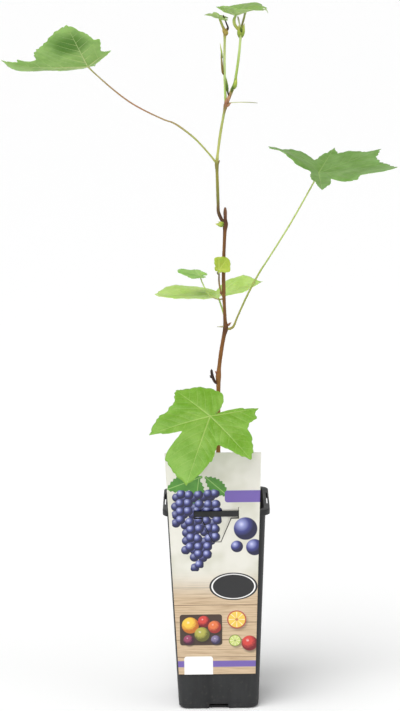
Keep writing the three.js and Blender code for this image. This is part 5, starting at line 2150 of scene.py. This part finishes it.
BUD_SKIN = StemSkin("bud_brown", even(srgb(96, 56, 34), srgb(150, 96, 62)), srgb(60, 34, 22), 0.4, 0.6)
TIP_SKIN = StemSkin("tip_dark", even(srgb(60, 44, 32), srgb(40, 32, 26)), srgb(20, 16, 12), 0.4, 0.7)
SCALE_SKIN = StemSkin("scale_green", even(srgb(104, 128, 36), srgb(160, 178, 70), srgb(196, 200, 96)),
                      srgb(98, 120, 40), 0.3, 0.5)
DARK_SCALE_SKIN = StemSkin("scale_dark", even(srgb(58, 70, 22), srgb(88, 118, 34), srgb(140, 164, 70)),
                           srgb(44, 56, 18), 0.4, 0.5)
COLLAR_SKIN = StemSkin("collar_brown", even(srgb(150, 100, 70), srgb(186, 146, 108)),
                       srgb(98, 60, 38), 0.4, 0.65)
SWELLING_SKIN = StemSkin("swelling_olive", even(srgb(140, 120, 58), srgb(170, 152, 70), srgb(120, 92, 48)),
                         srgb(92, 70, 34), 0.4, 0.55)
OLIVE_BIT_SKIN = StemSkin("bit_olive", even(srgb(112, 92, 36), srgb(130, 112, 52), srgb(122, 134, 60)),
                          srgb(70, 52, 26), 0.4, 0.65)
DRIED_SKIN = StemSkin("dried_brown", even(srgb(52, 36, 24), srgb(44, 32, 24)), srgb(22, 16, 12), 0.4, 0.8)
TENDRIL_SKIN = StemSkin("tendril_pale", even(srgb(186, 192, 140), srgb(190, 196, 146), srgb(128, 128, 96)),
                        srgb(150, 160, 90), 0.2, 0.5)

FORK, LEFT_TIP, RIGHT_TIP = NODE["fork"], NODE["left_tip"], NODE["right_tip"]

SPRIGS = (
    Sprig("brown_buds", Slot.BROWN_STEM, BUD_SKIN, (
        bud(NODE["right"], (1.6, -0.8, 2.6), (6.2, -1.6, 6.4), 1.25),
        bud(NODE["twig"], (-2.8, -2.2, 5.8), (-4.4, -4.4, 9.6), 1.0),
        bud(NODE["stub"], (-0.4, -0.6, 1.4), (-3.6, -2.6, 6.0), 1.2),
        bud(NODE["left"], (0.4, 1.2, -1.6), (3.2, 1.6, 3.4), 1.1))),
    Sprig("dark_tips", Slot.DEAD_WOOD, TIP_SKIN, (
        bud(TWIG_TIP, (-0.6, 0.0, -1.4), (-2.0, 0.6, 2.2), 1.15),
        bud(STUB_TIP, (0, 0, -1), (0, 0, 3), 1.3),
        bud(STUB_TIP, (0.4, 0.3, -6.8), (-2.0, -0.6, -3.4), 1.2),
        bud(FORK, (2.2, -1.2, 12.6), (2.6, -2.0, 8.6), 0.9))),
    Sprig("green_scales", Slot.GREEN_STEM, SCALE_SKIN, (
        bud(NODE["shoot"], (-1.8, -1.4, -1.4), (-10.2, -2.8, 0.6), 2.2),
        bud(NODE["shoot"], (-1.0, -1.2, 0.6), (-7.6, -2.6, 2.8), 1.3),
        bud(FORK, (8.4, -1.4, 15.4), (11.4, -1.4, 27.6), 2.2),
        bud(RIGHT_TIP, (-1.4, -0.4, -8.0), (-2.2, -1.2, 4.6), 2.2),
        bud(RIGHT_TIP, (0.4, -0.2, -8.0), (3.6, -0.8, 6.0), 2.3),
        bud(LEFT_TIP, (-2.8, 0.2, -28.4), (-5.2, -0.4, -13.0), 0.8))),
    Sprig("dark_scales", Slot.GREEN_STEM, DARK_SCALE_SKIN, (
        bud(FORK, (2.0, -0.6, 11.6), (0.6, -1.4, 27.4), 1.35),
        bud(FORK, (5.8, -2.0, 12.0), (8.4, -2.4, 23.0), 1.0),
        bud(RIGHT_TIP, (0.6, -2.2, -2.6), (-0.2, -2.8, 3.2), 1.1))),
    Sprig("node_collars", Slot.BROWN_STEM, COLLAR_SKIN, (
        bud(FORK, (-0.8, -0.8, 0.2), (4.6, -1.8, 9.6), 2.1),
        bud(FORK, (0.4, -0.4, -2.4), (5.4, -1.4, 1.8), 1.4),
        bud(NODE["right"], (-1.0, -0.8, 1.8), (-8.0, -1.6, 1.8), 0.8))),
    Sprig("node_swellings", Slot.GREEN_STEM, SWELLING_SKIN, (
        bud(LEFT_TIP, (0, 0, -6), (2, -1, 2), 2.5),
        bud(LEFT_TIP, (0, 0, -5), (-2, -1, 5), 2.0))),
    Sprig("olive_bits", Slot.GREEN_STEM, OLIVE_BIT_SKIN, (
        shred(LEFT_TIP, (-2.1, 0.4, -45.0, 0.7), (-3.0, -0.3, -42.6, 1.0), (-3.5, -0.5, -35.4, 1.1),
              (-3.8, -0.6, -30.6, 0.95), (-4.1, -0.5, -25.4, 0.7), (-4.2, -0.4, -22.4, 0.3)),)),
    Sprig("dried_bits", Slot.DEAD_WOOD, DRIED_SKIN, (
        shred(LEFT_TIP, (1.6, -0.4, -1.4, 1.1), (3.0, -0.9, 1.4, 0.95), (1.6, -1.1, 6.0, 0.75),
              (-0.4, -1.1, 11.0, 0.7), (-1.6, -1.0, 14.6, 0.6)),)),
    Sprig("tendrils", Slot.GREEN_STEM, TENDRIL_SKIN, (
        through((at(FORK, 0.6, 1), (47, -1, 626, 0.3)), (Span(0.46, (0, -1, 1)),)),
        through((at(RIGHT_TIP, 0.9), (28, 0, 713, 0.7)), (Span(0.85, (0, -1, 0)),)),
        through((at(NODE["right"], 0.5, 2), (3, -2, 397, 0.25)), (Span(0.37, (0, -1, 0)),)))),
)


# ---------------------------------------------------------------- studio
@dataclass(frozen=True)
class Studio:
    """The pale floor, the soft lights and the camera."""

    camera_place: Place = (0.0, -2.5, 0.8204)
    tilt: float = 0.1795
    pan: float = -0.0059
    roll: float = -0.0138
    lens: float = 124.7
    floor_half: float = 30.0

    def build(self) -> None:
        """Sets up the floor, the world, the lights and the camera."""
        self._floor()
        self._world()
        self._sun("key", (-0.6, -0.9, 1.5), 2.2, 50.0)
        self._light("side", (1.9, -1.2, 1.2), 1.6, 9.0)
        self._camera()
        bpy.context.scene.view_settings.view_transform = "Standard"

    def _floor(self) -> None:
        """A wide pale floor."""
        far = self.floor_half
        mesh = bpy.data.meshes.new("floor")
        corners = [(-far, -far, 0), (far, -far, 0), (far, far, 0), (-far, far, 0)]
        mesh.from_pydata(corners, [], [(0, 1, 2, 3)])
        floor = link("floor", mesh)
        material = bpy.data.materials.new("floor_pale")
        material.use_nodes = True
        shader = material.node_tree.nodes["Principled BSDF"]
        shader.inputs["Base Color"].default_value = (0.92, 0.92, 0.92, 1)
        shader.inputs["Roughness"].default_value = 0.9
        shader.inputs["Specular IOR Level"].default_value = 0.1
        mesh.materials.append(material)

    def _world(self) -> None:
        """A white surround, brightest round the horizon."""
        world = bpy.data.worlds.new("surround")
        world.use_nodes = True
        graph = Graph(world.node_tree)
        height = graph.parts(graph.add("ShaderNodeTexCoord").outputs["Generated"])[2]
        strength = graph.step(graph.math("ABSOLUTE", height), 0.12, 0.3, 1.0, 0.5)
        background = world.node_tree.nodes["Background"]
        background.inputs["Color"].default_value = (1, 1, 1, 1)
        graph.feed(background.inputs["Strength"], strength)
        bpy.context.scene.world = world

    def _light(self, name: str, place: Place, size: float, power: float) -> None:
        """A soft square light aimed at the middle of the plant.

        Args:
            name: its name.
            place: where it hangs.
            size: its width.
            power: its strength.
        """
        data = bpy.data.lights.new(name, "AREA")
        data.energy = power
        data.size = size
        lamp = bpy.data.objects.new(name, data)
        bpy.context.scene.collection.objects.link(lamp)
        lamp.location = place
        aim = Vector((0, 0, 0.4)) - Vector(place)
        lamp.rotation_euler = aim.to_track_quat("-Z", "Y").to_euler()

    def _sun(self, name: str, towards: Place, power: float, spread: float) -> None:
        """A broad even light.

        Args:
            name: its name.
            towards: the direction in which it stands.
            power: its strength.
            spread: the angle in degrees that it fills.
        """
        data = bpy.data.lights.new(name, "SUN")
        data.energy = power
        data.angle = math.radians(spread)
        lamp = bpy.data.objects.new(name, data)
        bpy.context.scene.collection.objects.link(lamp)
        lamp.rotation_euler = (-Vector(towards)).to_track_quat("-Z", "Y").to_euler()

    def _camera(self) -> None:
        """A long lens at the height of the plant's top, looking slightly down."""
        forward = Vector((math.sin(self.pan) * math.cos(self.tilt),
                          math.cos(self.pan) * math.cos(self.tilt), -math.sin(self.tilt)))
        right = Vector((math.cos(self.pan), -math.sin(self.pan), 0))
        up = right.cross(forward)
        c, s = math.cos(self.roll), math.sin(self.roll)
        turned = (right * c + up * s, up * c - right * s, -forward)
        data = bpy.data.cameras.new("camera")
        data.lens = self.lens
        data.clip_end = 200
        camera = bpy.data.objects.new("camera", data)
        camera.matrix_world = Matrix.Translation(self.camera_place) @ Matrix(turned).transposed().to_4x4()
        bpy.context.scene.collection.objects.link(camera)
        bpy.context.scene.camera = camera


def main() -> None:
    """Builds every piece in order and sets up the studio."""
    logging.basicConfig(level=logging.INFO, format="%(name)s %(message)s")
    Pot().build()
    Soil().build()
    CardLabel().build()
    tool = LimbSkin()
    for seed, limb in enumerate(LIMBS):
        limb.build(tool, seed)
    for leaf in leaves():
        leaf.build(tool)
    for sprig in SPRIGS:
        sprig.build(tool)
    Studio().build()
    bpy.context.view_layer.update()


if __name__ == "__main__":
    main()
